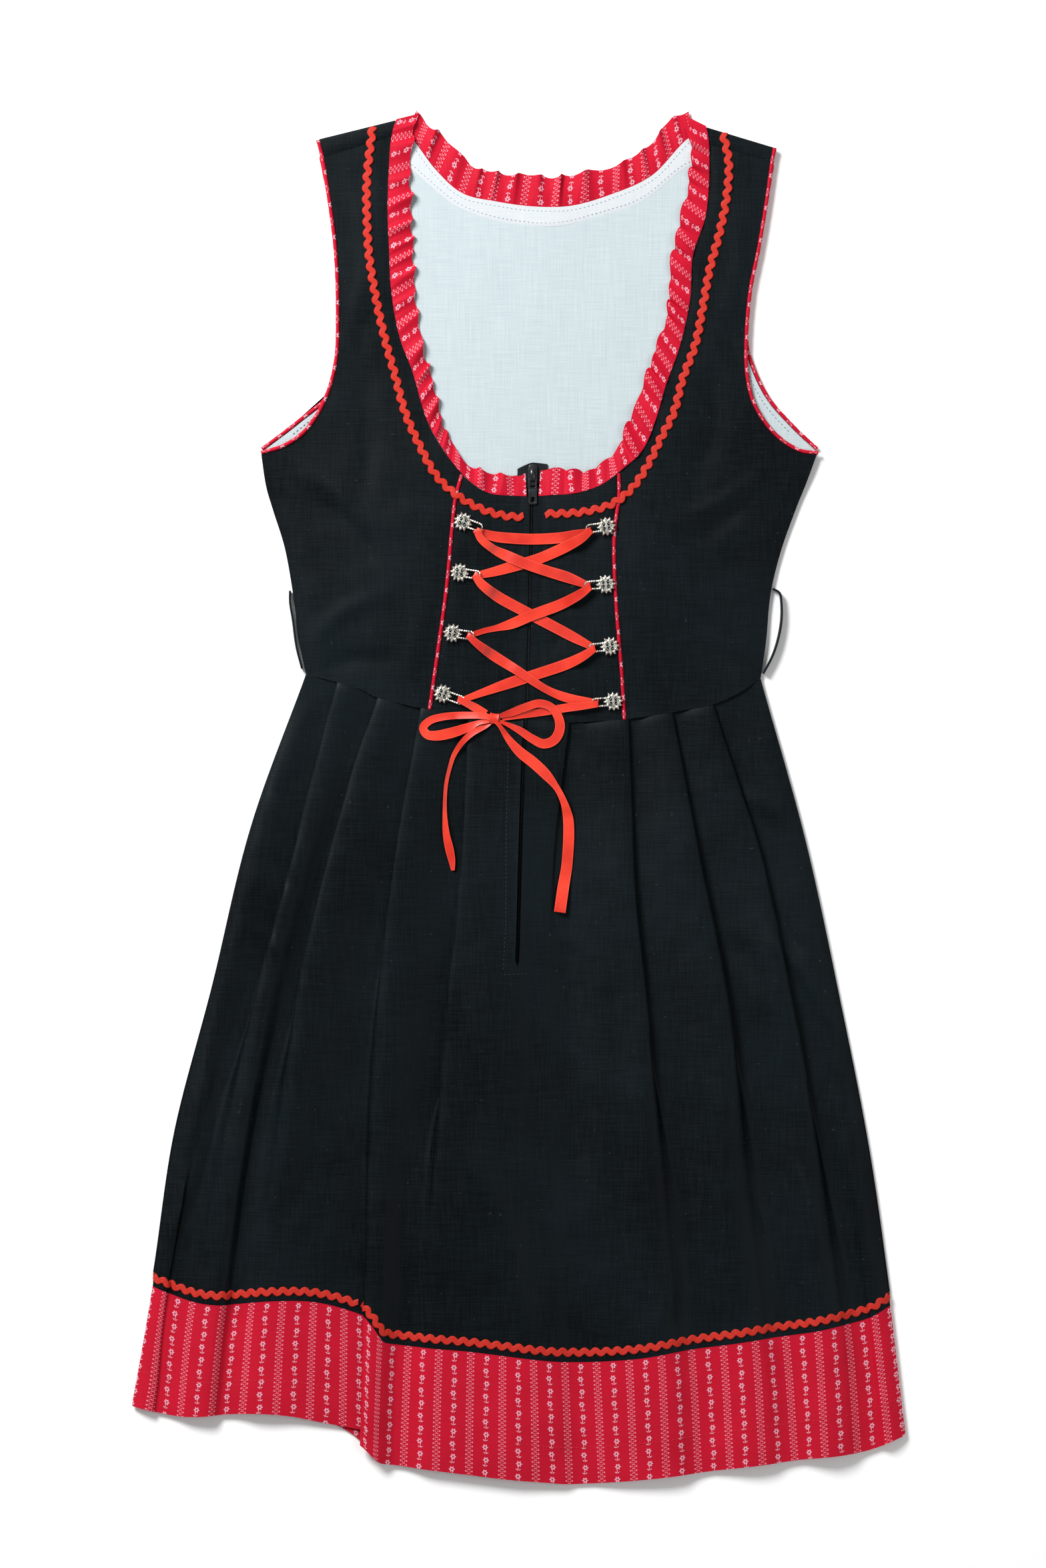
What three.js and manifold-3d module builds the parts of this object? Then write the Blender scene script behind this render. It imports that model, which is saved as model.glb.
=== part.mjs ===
// A laced dirndl with a ruffled neckline, laid flat on its back.
// Millimetres, +X to the viewer's right, +Y to the shoulders, +Z up from the surface it lies on.
// The origin is on that surface, below the middle of the outline.
import * as THREE from "three";
import { mergeVertices } from "three/addons/utils/BufferGeometryUtils.js";
import Module from "manifold-3d";

const wasm = await Module();
wasm.setup();

// Thicknesses and the gaps at seams
const GAP = 0.3;
const CLOTH = 1.2;
const LINING = 1.0;
const RUFFLE_CLOTH = 1.3;
const RIBBON = 0.9;
const TRIM = 1.0;

// Levels of the layers that lie on each other, each the underside of its layer
const BACK_LEVEL = 0;
const LINING_LEVEL = BACK_LEVEL + CLOTH + GAP;
const FRONT_LEVEL = LINING_LEVEL + LINING + GAP + 0.2;
const SIDE_LEVEL = BACK_LEVEL + CLOTH + GAP;

// The two sides of the bodice roll down to the back within this distance of the side seam
const SIDE_ROLL = 14;
const BUST = {
  across: 76,
  centre: 9,
  up: 178,
  width: 58,
  height: 95,
  rise: 4.4,
};

// Outlines of the bodice, x and y, from the waist upwards or from the side inwards
const SIDE_SEAM_LEFT = [
  [-153, 88], [-158.5, 114], [-160.5, 132], [-163, 150.5], [-168.5, 180], [-177, 207], [-181.5, 222.5],
  [-185.5, 249],
];
const SIDE_SEAM_RIGHT = [
  [174, 85], [178, 112.5], [180, 136.5], [182, 150.5], [189, 178], [200, 208.5], [207, 226],
  [215.5, 249],
];
const BACK_ARMHOLE_LEFT = [
  [-185.5, 251], [-160.5, 270], [-136, 292], [-130.5, 316], [-131, 349], [-133, 391.5], [-137.5, 428],
  [-143.5, 460],
];
const BACK_ARMHOLE_RIGHT = [
  [215.5, 251], [198.5, 267], [180, 288.5], [167, 318], [165, 335], [168, 364.5], [174, 394.5],
  [180, 431], [183.8, 454],
];
const FRONT_ARMHOLE_LEFT = [
  [-185.5, 248.5], [-169.5, 253.5], [-154.5, 264], [-141, 285], [-133, 312.5], [-131.5, 349],
  [-133, 391.5], [-137.5, 428], [-142.5, 459],
];
const FRONT_ARMHOLE_RIGHT = [
  [215.5, 248.5], [203, 250], [186, 261], [171, 282], [165.5, 303.5], [165, 330.5], [168, 364.5],
  [174, 394.5], [180, 431], [183.5, 456],
];
const NECK_SEAM_LEFT = [
  [5.6, 215.5], [-6, 216], [-20.5, 217.5], [-32.5, 224], [-43, 234], [-54, 248.5], [-66, 270],
  [-77, 306.5], [-86, 330.5], [-92, 364.5], [-93.5, 394.5], [-94.5, 425.5], [-92, 474],
];
const NECK_SEAM_RIGHT = [
  [14.2, 215.6], [25, 216.5], [39.5, 217.5], [59, 223.5], [73.5, 234], [89, 248.5], [99.5, 273],
  [105.5, 294], [116.5, 325], [123.5, 358], [125.5, 389], [135, 419], [137.5, 468],
];
const NECK_EDGE_LEFT = [
  [5.2, 237.5], [-6, 236], [-20.5, 233.5], [-31.5, 236], [-42, 246], [-54, 267], [-59, 288.5],
  [-65.5, 312.5], [-71, 335.5], [-74.5, 364.5], [-75.5, 389], [-77, 430], [-78, 482],
];
const NECK_EDGE_RIGHT = [
  [14.6, 239], [27.5, 237], [44.5, 233.5], [59, 238.5], [71, 250.5], [80.5, 273], [90, 297],
  [99, 323.5], [106.5, 345], [109, 376], [112, 398], [121, 434], [124.5, 480],
];
const BACK_NECK = [
  [-88.5, 484], [-77, 473], [-59, 449.5], [-40.5, 433.5], [-15.5, 427.5], [11, 424], [37.5, 424.5],
  [64.5, 432], [95.5, 446], [122, 473], [134.5, 479],
];
const BACK_RUFFLE_EDGE = [
  [-73, 490], [-59, 479], [-39.5, 460], [-28, 451.5], [-8.5, 448.5], [17, 446.5], [37, 447], [52, 450],
  [71, 455], [87, 463], [98, 474], [112, 489], [120, 494.2],
];
const BACK_RUFFLE_FROM = -74.5;
const BACK_RUFFLE_TO = 119.5;
const FACING_EDGE = [
  [-88, 458], [-79.5, 453], [-45.5, 425], [-18, 414.5], [11, 410], [30.5, 410.5], [60, 418], [89, 428],
  [121.5, 453], [136, 457],
];
const WAIST = [
  [-153, 88], [-115, 77.5], [-101.5, 71], [-69.5, 63.5], [-37, 59.5], [6, 55], [39.5, 53.5],
  [76.5, 55.5], [110, 60.5], [139.5, 66], [159.5, 75], [174, 85],
];
const PRINCESS_LEFT = [
  [-64, 62.8], [-58.5, 101.5], [-52, 148.5], [-47.5, 196.5], [-45.5, 214], [-41, 232],
];
const PRINCESS_RIGHT = [
  [76, 55.6], [74, 89.5], [72, 112.5], [69.5, 147], [68.5, 173.5], [69, 192.5], [72, 215.5], [72, 232.5],
];
const SHOULDERS = {
  left: {
    foldOuter: [-146, 473],
    foldInner: [-88.5, 486.5],
    seamOuter: [-142.5, 459.5],
    seamInner: [-92, 474.5],
  },
  right: {
    foldOuter: [186, 467],
    foldInner: [135, 481.5],
    seamOuter: [183.5, 456.5],
    seamInner: [137.5, 468.5],
  },
};

// Trims on the bodice
const PIPING_RADIUS = 1.3;
const PIPING_SIDES = 6;
const RICRAC = { pitch: 9.2, swing: 1.8, band: 3.1 };
const RICRAC_LEFT = [
  [-105, 481.5], [-109, 443.5], [-109, 416], [-107.5, 389], [-102.5, 358], [-96.5, 330.5], [-89, 303.5],
  [-81.5, 276], [-71, 252], [-59, 230.5], [-45, 217], [-26.5, 206.5], [-8.5, 201.5], [3.5, 201],
];
const RICRAC_RIGHT = [
  [147, 477], [151, 455.5], [149.5, 431], [144, 403.5], [137.5, 379.5], [132.5, 352.5], [127, 325],
  [118, 300.5], [111.5, 276], [102.5, 258], [93.5, 239.5], [81.5, 221.5], [67.5, 210.5], [46.5, 204.5],
  [19, 203],
];
const RUFFLE = { pitch: 16, stepsPerWave: 4, rootRise: 0.6, edgeRise: 3.4 };
const STRAP_INSET = 2.9;
const STRAP_TOP_INSET = 4.7;
const FOLD_LEG = 8.2;
const ARMHOLE_ROWS = { back: 9, front: 11 };
const BELT_LOOP = { thickness: 1.6, low: 0.3, high: 5.9 };
const BELT_LOOP_LEFT = [[-164.4, 148], [-164.6, 140], [-162.6, 126.5], [-160, 107.5], [-155.8, 92]];
const BELT_LOOP_RIGHT = [
  [182.8, 149.4], [187.5, 146.5], [188.6, 141], [188.6, 127], [186, 112.5], [182, 100.5], [175.9, 88.5],
];

// The lacing hooks: the centre of each star and the tip of its wire loop
const HOOKS = {
  left_1: { star: [-40, 197.5], tip: [-26.5, 192.5] },
  left_2: { star: [-42.5, 161], tip: [-28, 159] },
  left_3: { star: [-47.5, 117.5], tip: [-32.5, 115.5] },
  left_4: { star: [-54.5, 74], tip: [-39.5, 68.5] },
  right_1: { star: [63, 194], tip: [48.5, 192] },
  right_2: { star: [62.5, 152.5], tip: [47.5, 151.5] },
  right_3: { star: [65.5, 108], tip: [50.5, 106.5] },
  right_4: { star: [68, 68.5], tip: [52.5, 67.5] },
};
const STAR = {
  points: 12,
  outer: 7.1,
  inner: 4.7,
  thickness: 1.4,
  level: 1.1,
  holeRadius: 1.05,
};
const STAR_HOLES = [[-1.8, -1.6], [-1.8, 1.6], [1.8, -1.6], [1.8, 1.6]];
const STAR_BASE_RADIUS = 4.1;
const WIRE = { radius: 0.6, halfWidth: 2.7, level: 2.15, sides: 4, steps: 9, tipSteps: 6 };

// The zip, from the neck to below the waist, x and y along its middle
const ZIP_LINE = [[10, 240], [9.5, 215.5], [6.5, 83.5], [3, 18], [-1, -121]];
const ZIP_SLIT = 1.4;
const ZIP_TAPE = {
  halfWidth: 11,
  thickness: 0.8,
  level: LINING_LEVEL + LINING + GAP,
  bottom: -128,
  top: 243,
};
const ZIP_CHAIN = { halfWidth: 1.05, thickness: 1.3, bottom: -118.5, top: 222.5 };
const SLIDER = { x: 10, bottom: 223.4, length: 15.6, halfWidth: 3.3, thickness: 2.1 };
const BRIDGE = { halfWidth: 1.4, from: 226.2, to: 236.4, rise: 3.1, wall: 0.9 };
const PULL = {
  pivotY: 228.1,
  barRadius: 0.6,
  armHalfGap: 1.85,
  armWidth: 1.1,
  plateTop: 222,
  plateBottom: 210,
  thickness: 1.0,
  windowHalf: 1.5,
  windowHeight: 5,
  rim: 1.2,
};

// The skirt: how far down each row lies, from 0 at the waist over 1 at the band seam to 1.22 at the hem
const BAND = 0.22;
const ZIP_ROW = 0.387;
const SKIRT_ROWS = [0, 0.07, 0.16, 0.27, ZIP_ROW, 0.52, 0.67, 0.83, 1];
const BAND_ROWS = [1, 1.22];
const LEVELS = [0, 0.25, 0.5, 0.75, 1, 1.22];
const SKIRT_MIDDLE = SIDE_LEVEL + CLOTH / 2 + 0.1;
const SIDE_LEFT = [-153, -193, -220, -247.5, -263, -278];
const SIDE_RIGHT = [174, 206, 230.5, 252, 267, 278];
// Each pleat, with six values for the six levels: where its edge is, how far the cloth is folded under it,
// how high it stands, and how crisp it is, from 1, a pressed edge, to 0, a soft wave
const PLEATS = [
  { facing: -1, edge: [-130.5, -158, -188.5, -215, -234, -243], under: [10, 9, 6, 4, 3, 3],
    height: [3.4, 5.5, 8, 8, 7, 6], crisp: [1, 1, 0.8, 0.35, 0.1, 0] },
  { facing: -1, edge: [-101.5, -133.5, -159, -176.5, -191, -198], under: [12, 10, 7, 4, 3, 3],
    height: [3.4, 6, 8.5, 7, 5, 5], crisp: [1, 1, 0.85, 0.3, 0.1, 0] },
  { facing: -1, edge: [-70.5, -89.5, -103, -109, -112, -114], under: [12, 10, 6, 6, 8, 8],
    height: [3.4, 6, 7, 6.5, 6.5, 6.5], crisp: [1, 0.95, 0.6, 0.5, 0.8, 0.9] },
  { facing: -1, edge: [-36, -42, -53, -64, -71, -74], under: [12, 11, 8, 4, 3, 3],
    height: [3.4, 7, 9.5, 8, 5.5, 5], crisp: [1, 1, 0.95, 0.4, 0.1, 0] },
  { facing: 1, edge: [36.5, 25, 25, 27.5, 32.5, 36], under: [8, 5, 3, 3, 3, 3],
    height: [3.4, 4, 3, 2.6, 3, 3.4], crisp: [1, 0.4, 0.1, 0, 0, 0] },
  { facing: 1, edge: [79, 83.5, 95, 107, 116.5, 121], under: [12, 10, 7, 4, 3, 3],
    height: [3.4, 6, 8, 7.5, 6, 5.5], crisp: [1, 1, 0.8, 0.3, 0.1, 0] },
  { facing: 1, edge: [110.5, 132, 153.5, 166, 179, 185], under: [12, 10, 7, 4, 3, 3],
    height: [3.4, 6.5, 9, 8, 6, 5.5], crisp: [1, 1, 0.9, 0.3, 0.1, 0] },
  { facing: 1, edge: [140, 172, 198, 218, 234, 241], under: [11, 10, 7, 5, 3, 3],
    height: [3.4, 6, 8, 8, 7, 6], crisp: [1, 1, 0.9, 0.6, 0.2, 0] },
];
// The pleat whose fold runs on into the hem: the cloth left of it hangs higher
const HEM_PLEAT = 2;
const HEM_SEAM_LEFT = [
  [-264, -351.5], [-239, -361.5], [-219.5, -365], [-200.5, -364.5], [-181, -362.5], [-152.5, -362.5],
  [-133, -366], [-108, -374],
];
const HEM_SEAM_RIGHT = [
  [-118, -384.5], [-104.5, -388], [-95, -392.5], [-66, -396], [-37, -398.5], [-8.5, -402],
  [20.5, -405.5], [39.5, -406.5], [59, -406], [87.5, -403.5], [116.5, -398.5], [145, -394.5],
  [174, -390], [203, -386], [231.5, -380], [251, -375], [267.5, -365.5],
];
const HEM_LEFT = [
  [-278, -438], [-258, -443], [-239, -445.5], [-200.5, -443.5], [-181, -443.5], [-162, -445.5],
  [-143, -449.5], [-108, -456],
];
const HEM_RIGHT = [
  [-120, -469.5], [-104.5, -477.5], [-85, -481], [-37, -487], [-8.5, -490.5], [20.5, -493],
  [39.5, -494.2], [87.5, -491], [145, -484], [203, -476.5], [251, -470], [278, -459],
];
const HEM_RICRAC_UP = 6.7;
const HEM_RICRAC_LIFT = 1.0;

// The ribbon lace: the stretches between the hooks, from the one that it leaves over the wire to the one
// that it reaches below the wire, as x, y and width
const LACE = {
  lace_top: {
    over: null,
    route: [
      [-29, 190.5, 4.5], [-18, 187, 6.5], [-3.5, 185.5, 7], [11, 185, 7], [30, 186, 7], [41, 188, 6.5],
      [50, 190, 4.5],
    ],
  },
  lace_right_1_left_2: {
    over: "right_1",
    route: [
      [51.5, 191, 4.5], [45, 185.5, 6], [35, 180, 7], [14.5, 171, 7], [-5.5, 165, 7], [-18, 161.5, 6],
      [-29.5, 159, 4.5],
    ],
  },
  lace_left_2_right_3: {
    over: "left_2",
    route: [
      [-31.5, 159, 4.5], [-26.5, 152.5, 6], [-15.5, 144, 7], [4.5, 133, 7], [24.5, 122.5, 7],
      [39.5, 114.5, 6.5], [52, 108, 4.5],
    ],
  },
  lace_right_3_left_4: {
    over: "right_3",
    route: [
      [54, 106, 4.5], [45.5, 100.5, 6], [35, 95.5, 7], [14.5, 88.5, 7], [-5.5, 82, 7], [-25.5, 75, 5],
      [-40.5, 69.5, 3.5],
    ],
  },
  lace_left_1_right_2: {
    over: "left_1",
    route: [
      [-30, 191, 4.5], [-27, 185, 5], [-18.5, 178, 5.5], [-8.5, 173, 7], [4.5, 167.5, 7],
      [20.5, 162, 7], [35, 157.5, 7], [49, 152, 4.5],
    ],
  },
  lace_right_2_left_3: {
    over: "right_2",
    route: [
      [51, 150.5, 4.5], [43.5, 145, 6], [30, 138, 7], [10, 130.5, 7], [-5.5, 124, 6.5], [-16.5, 121, 4],
      [-25.5, 119, 3.5], [-34, 116, 3.5],
    ],
  },
  lace_left_3_right_4: {
    over: "left_3",
    route: [
      [-36, 115.5, 4], [-30, 110, 5], [-20.5, 103, 6.5], [0, 90, 6], [20, 77, 5], [35, 71, 6],
      [54, 67.5, 5],
    ],
  },
  lace_left_4_knot: {
    over: "left_4",
    route: [
      [-43, 70, 4], [-36, 66.5, 5], [-30.5, 63.5, 5.5], [-23.5, 59.5, 5],
    ],
  },
  lace_right_4_knot: {
    over: "right_4",
    route: [
      [56.5, 66.5, 4], [44.5, 65, 5], [35, 64, 5.5], [14.5, 60.5, 5], [-4, 58, 4.5], [-12, 57, 4.5],
    ],
  },
};
const KNOT = { x: -17.8, y: 56, halfWidth: 4.2, halfHeight: 3.6, thickness: 3.4 };
const BOW = {
  bow_loop_left: [
    [-22.6, 57.5, 3.5], [-36, 58.5, 4], [-53.5, 57.5, 4.2], [-64, 54.5, 4.4], [-68.6, 49.5, 4.6],
    [-66, 44.8, 5], [-60, 43.8, 5.6], [-50, 45.5, 6], [-37, 49.6, 5], [-29, 53, 3],
  ],
  bow_loop_right: [
    [-13, 58, 2.6], [-5, 60.5, 4.2], [5.5, 64.5, 4.6], [15, 67, 4.6], [23, 64.5, 4.6], [28.5, 57, 5.2],
    [29.5, 48.5, 5.6], [25.5, 40.8, 5.6], [18, 38, 5.4], [9.5, 41.8, 4.8], [0, 48, 4], [-12.2, 53.5, 2],
  ],
};
const TAILS = {
  lace_tail_left: [
    [-23.2, 51, 3], [-33.5, 45.6, 4], [-41, 38.5, 3.4], [-46.5, 30, 3], [-49.5, 21, 2.6],
    [-52, 10, 2.4], [-53, -2, 2.4], [-53, -15, 3], [-52, -27, 4.4], [-49.8, -37.5, 5.4],
    [-48, -46, 4.4], [-47.2, -53, 2.4],
  ],
  lace_tail_right: [
    [-13.6, 50.8, 2.6], [-7, 41, 4.5], [1, 32, 6.5], [10.5, 24.5, 7], [19.5, 16, 6.5], [27.5, 6, 4],
    [32.5, -4, 4.5], [35.5, -15.5, 6.5], [36, -27, 7], [35.5, -38.5, 7], [34.5, -50.5, 7],
    [32, -65.5, 7.4], [29.5, -83, 7.4],
  ],
};

const FINISH = {
  black: new THREE.MeshStandardMaterial({ color: 0x10181c, roughness: 0.85, metalness: 0 }),
  print: new THREE.MeshStandardMaterial({ color: 0xc8142e, roughness: 0.8, metalness: 0 }),
  lining: new THREE.MeshStandardMaterial({ color: 0xdce8ec, roughness: 0.85, metalness: 0 }),
  facing: new THREE.MeshStandardMaterial({ color: 0xf0f2f4, roughness: 0.8, metalness: 0 }),
  braid: new THREE.MeshStandardMaterial({ color: 0xd2321e, roughness: 0.7, metalness: 0 }),
  satin: new THREE.MeshStandardMaterial({ color: 0xff4028, roughness: 0.35, metalness: 0 }),
  silver: new THREE.MeshStandardMaterial({ color: 0xb8b6ae, roughness: 0.35, metalness: 1 }),
  zip: new THREE.MeshStandardMaterial({ color: 0x0c0d10, roughness: 0.5, metalness: 0 }),
};

const dress = new THREE.Group();

// Interpolation along tables and lines
function clamp01(t) {
  return Math.min(1, Math.max(0, t));
}

function easeInOut(t) {
  const s = clamp01(t);
  return s * s * (3 - 2 * s);
}

// The value of a table at position t, by a smooth curve through its values at the given stations
function curveValue(stations, values, t) {
  let i = 0;
  while (i < stations.length - 2 && t > stations[i + 1]) i += 1;
  const span = stations[i + 1] - stations[i];
  const u = (t - stations[i]) / span;
  const slope = (k) => {
    const before = Math.max(0, k - 1);
    const after = Math.min(stations.length - 1, k + 1);
    return (values[after] - values[before]) / (stations[after] - stations[before]);
  };
  const u2 = u * u;
  const u3 = u2 * u;
  return (2 * u3 - 3 * u2 + 1) * values[i] + (u3 - 2 * u2 + u) * span * slope(i)
    + (3 * u2 - 2 * u3) * values[i + 1] + (u3 - u2) * span * slope(i + 1);
}

function yAt(line, x) {
  const within = Math.min(line.at(-1)[0], Math.max(line[0][0], x));
  return curveValue(line.map((p) => p[0]), line.map((p) => p[1]), within);
}

function xAt(line, y) {
  const rows = line[0][1] < line.at(-1)[1] ? line : [...line].reverse();
  const within = Math.min(rows.at(-1)[1], Math.max(rows[0][1], y));
  return curveValue(rows.map((p) => p[1]), rows.map((p) => p[0]), within);
}

// A smooth line through the points of a table, as count + 1 points at equal distances
function spaced(line, count) {
  const points = line.map(([x, y]) => new THREE.Vector3(x, y, 0));
  const curve = new THREE.CatmullRomCurve3(points, false, "centripetal");
  curve.arcLengthDivisions = 40 * line.length;
  return curve.getSpacedPoints(count).map((p) => [p.x, p.y]);
}

function lengthOf(line) {
  let total = 0;
  for (let i = 1; i < line.length; i += 1) {
    total += Math.hypot(line[i][0] - line[i - 1][0], line[i][1] - line[i - 1][1]);
  }
  return total;
}

// Points on the straight stretches of a line, at equal distances
function spacedStraight(line, count) {
  const path = new THREE.CurvePath();
  for (let i = 1; i < line.length; i += 1) {
    const [from, to] = [line[i - 1], line[i]].map(([x, y]) => new THREE.Vector3(x, y, 0));
    path.add(new THREE.LineCurve3(from, to));
  }
  return Array.from({ length: count + 1 }, (_, k) => path.getPointAt(k / count).toArray().slice(0, 2));
}

function straightAt(line, x) {
  let i = 0;
  while (i < line.length - 2 && x > line[i + 1][0]) i += 1;
  const [a, b] = [line[i], line[i + 1]];
  return a[1] + ((b[1] - a[1]) * (x - a[0])) / (b[0] - a[0]);
}

// The line moved sideways, to the left of its direction when the distance is positive
function moved(line, distance) {
  return line.map((point, i) => {
    const before = line[Math.max(0, i - 1)];
    const after = line[Math.min(line.length - 1, i + 1)];
    const dx = after[0] - before[0];
    const dy = after[1] - before[1];
    const size = Math.hypot(dx, dy);
    return [point[0] - (dy / size) * distance, point[1] + (dx / size) * distance, ...point.slice(2)];
  });
}

// What has been laid so far, so that a trim can lie on it
class Ground {
  constructor() {
    this.faces = [];
  }

  add(mesh) {
    const position = mesh.geometry.getAttribute("position");
    const index = mesh.geometry.getIndex();
    const corner = new THREE.Vector3();
    for (let i = 0; i < index.count; i += 3) {
      const face = [0, 1, 2].map((k) => {
        corner.fromBufferAttribute(position, index.getX(i + k));
        return [corner.x, corner.y, corner.z];
      });
      const xs = face.map((p) => p[0]);
      const ys = face.map((p) => p[1]);
      this.faces.push({
        face,
        x0: Math.min(...xs),
        x1: Math.max(...xs),
        y0: Math.min(...ys),
        y1: Math.max(...ys),
      });
    }
  }

  heightAt(x, y) {
    let height = 0;
    for (const { face: [a, b, c], x0, x1, y0, y1 } of this.faces) {
      if (x < x0 || x > x1 || y < y0 || y > y1) continue;
      const area = (b[0] - a[0]) * (c[1] - a[1]) - (c[0] - a[0]) * (b[1] - a[1]);
      if (Math.abs(area) < 1e-6) continue;
      const u = ((x - a[0]) * (c[1] - a[1]) - (c[0] - a[0]) * (y - a[1])) / area;
      const v = ((b[0] - a[0]) * (y - a[1]) - (x - a[0]) * (b[1] - a[1])) / area;
      if (u < -1e-6 || v < -1e-6 || u + v > 1 + 1e-6) continue;
      height = Math.max(height, a[2] + u * (b[2] - a[2]) + v * (c[2] - a[2]));
    }
    return height;
  }

  // The highest place within a radius
  highest(x, y, radius) {
    let height = this.heightAt(x, y);
    for (const part of [0.35, 0.7, 1]) {
      for (let k = 0; k < 12; k += 1) {
        const angle = (k * Math.PI) / 6;
        const px = x + radius * part * Math.cos(angle);
        const py = y + radius * part * Math.sin(angle);
        height = Math.max(height, this.heightAt(px, py));
      }
    }
    return height;
  }
}

function addMesh(name, geometry, material) {
  const mesh = new THREE.Mesh(geometry, material);
  mesh.name = name;
  dress.add(mesh);
  return mesh;
}

// A closed wall from grids of points on its top and its underside. Grids that share an edge are joined there,
// and every free edge gets a rim.
function wall(name, grids, material) {
  const position = [];
  const numbers = new Map();
  const vertex = (p) => {
    const key = p.map((value) => Math.round(value * 1000)).join(",");
    if (!numbers.has(key)) {
      numbers.set(key, position.length / 3);
      position.push(...p);
    }
    return numbers.get(key);
  };
  const index = [];
  const edges = new Map();
  const triangle = (a, b, c) => {
    if (a !== b && b !== c && a !== c) index.push(a, b, c);
  };
  for (const { top, bottom } of grids) {
    let area = 0;
    for (let i = 0; i + 1 < top.length; i += 1) {
      for (let j = 0; j + 1 < top[i].length; j += 1) {
        const along = [top[i][j + 1][0] - top[i][j][0], top[i][j + 1][1] - top[i][j][1]];
        const down = [top[i + 1][j][0] - top[i][j][0], top[i + 1][j][1] - top[i][j][1]];
        area += along[0] * down[1] - along[1] * down[0];
      }
    }
    const turn = area < 0;
    for (let i = 0; i + 1 < top.length; i += 1) {
      for (let j = 0; j + 1 < top[i].length; j += 1) {
        const places = [[i, j], [i, j + 1], [i + 1, j + 1], [i + 1, j]];
        if (turn) places.reverse();
        const above = places.map(([r, c]) => vertex(top[r][c]));
        if (new Set(above).size < 3) continue;
        const below = places.map(([r, c]) => vertex(bottom[r][c]));
        triangle(above[0], above[1], above[2]);
        triangle(above[0], above[2], above[3]);
        triangle(below[0], below[2], below[1]);
        triangle(below[0], below[3], below[2]);
        for (let k = 0; k < 4; k += 1) {
          const from = above[k];
          const to = above[(k + 1) % 4];
          if (from === to) continue;
          const key = from < to ? `${from} ${to}` : `${to} ${from}`;
          const list = edges.get(key) ?? [];
          list.push([from, to, below[k], below[(k + 1) % 4]]);
          edges.set(key, list);
        }
      }
    }
  }
  for (const list of edges.values()) {
    if (list.length > 1) continue;
    const [from, to, fromBelow, toBelow] = list[0];
    triangle(to, from, fromBelow);
    triangle(to, fromBelow, toBelow);
  }
  const geometry = new THREE.BufferGeometry();
  geometry.setAttribute("position", new THREE.Float32BufferAttribute(position, 3));
  geometry.setIndex(index);
  geometry.computeVertexNormals();
  return addMesh(name, geometry, material);
}

// A panel between two lines of equally many points, with its underside at a height worked out from x and y
function panelGrid(lineA, lineB, columns, level, thickness) {
  const flat = lineA.map((a, i) => {
    const b = lineB[i];
    return Array.from({ length: columns + 1 }, (_, j) => {
      const t = j / columns;
      return [a[0] + (b[0] - a[0]) * t, a[1] + (b[1] - a[1]) * t];
    });
  });
  const bottom = flat.map((row) => row.map(([x, y]) => [x, y, level(x, y)]));
  const top = bottom.map((row) => row.map(([x, y, z]) => [x, y, z + thickness]));
  return { top, bottom };
}

// A strip swept along a line of x, y and z, with its section given as pairs of sideways and upwards
function sweep(name, line, sectionAt, material) {
  const rings = line.map((point, i) => {
    const before = line[Math.max(0, i - 1)];
    const after = line[Math.min(line.length - 1, i + 1)];
    const arrive = new THREE.Vector2(point[0] - before[0], point[1] - before[1]).normalize();
    const leave = new THREE.Vector2(after[0] - point[0], after[1] - point[1]).normalize();
    const way = arrive.clone().add(leave).normalize();
    const reference = arrive.length() > 0 ? arrive : leave;
    const stretch = Math.min(1.6, 1 / Math.max(0.2, way.dot(reference)));
    return sectionAt(i).map(([side, up]) => [
      point[0] + way.y * side * stretch,
      point[1] - way.x * side * stretch,
      point[2] + up,
    ]);
  });
  const count = rings[0].length;
  const position = rings.flat(2);
  const index = [];
  for (let i = 0; i + 1 < rings.length; i += 1) {
    for (let k = 0; k < count; k += 1) {
      const a = i * count + k;
      const b = i * count + ((k + 1) % count);
      index.push(a, a + count, b);
      index.push(b, a + count, b + count);
    }
  }
  const last = (rings.length - 1) * count;
  for (let k = 1; k + 1 < count; k += 1) {
    index.push(0, k, k + 1);
    index.push(last, last + k + 1, last + k);
  }
  const geometry = new THREE.BufferGeometry();
  geometry.setAttribute("position", new THREE.Float32BufferAttribute(position, 3));
  geometry.setIndex(index);
  geometry.computeVertexNormals();
  return addMesh(name, geometry, material);
}

function roundSection(radius, sides) {
  return Array.from({ length: sides }, (_, k) => {
    const angle = (2 * Math.PI * (k + 0.5)) / sides;
    return [radius * Math.cos(angle), radius * Math.sin(angle)];
  });
}

function flatSection(width, thickness) {
  return [[width / 2, 0], [width / 2, thickness], [-width / 2, thickness], [-width / 2, 0]];
}

// Booleans on closed meshes
function toSolid(geometry) {
  const bare = geometry.clone();
  bare.deleteAttribute("normal");
  bare.deleteAttribute("uv");
  const merged = mergeVertices(bare, 1e-4);
  return new wasm.Manifold(new wasm.Mesh({
    numProp: 3,
    vertProperties: new Float32Array(merged.getAttribute("position").array),
    triVerts: new Uint32Array(merged.getIndex().array),
  }));
}

function toGeometry(solid) {
  const mesh = solid.getMesh();
  const geometry = new THREE.BufferGeometry();
  geometry.setAttribute("position", new THREE.Float32BufferAttribute(mesh.vertProperties, 3));
  geometry.setIndex(new THREE.Uint32BufferAttribute(mesh.triVerts, 1));
  geometry.computeVertexNormals();
  return geometry;
}

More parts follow.
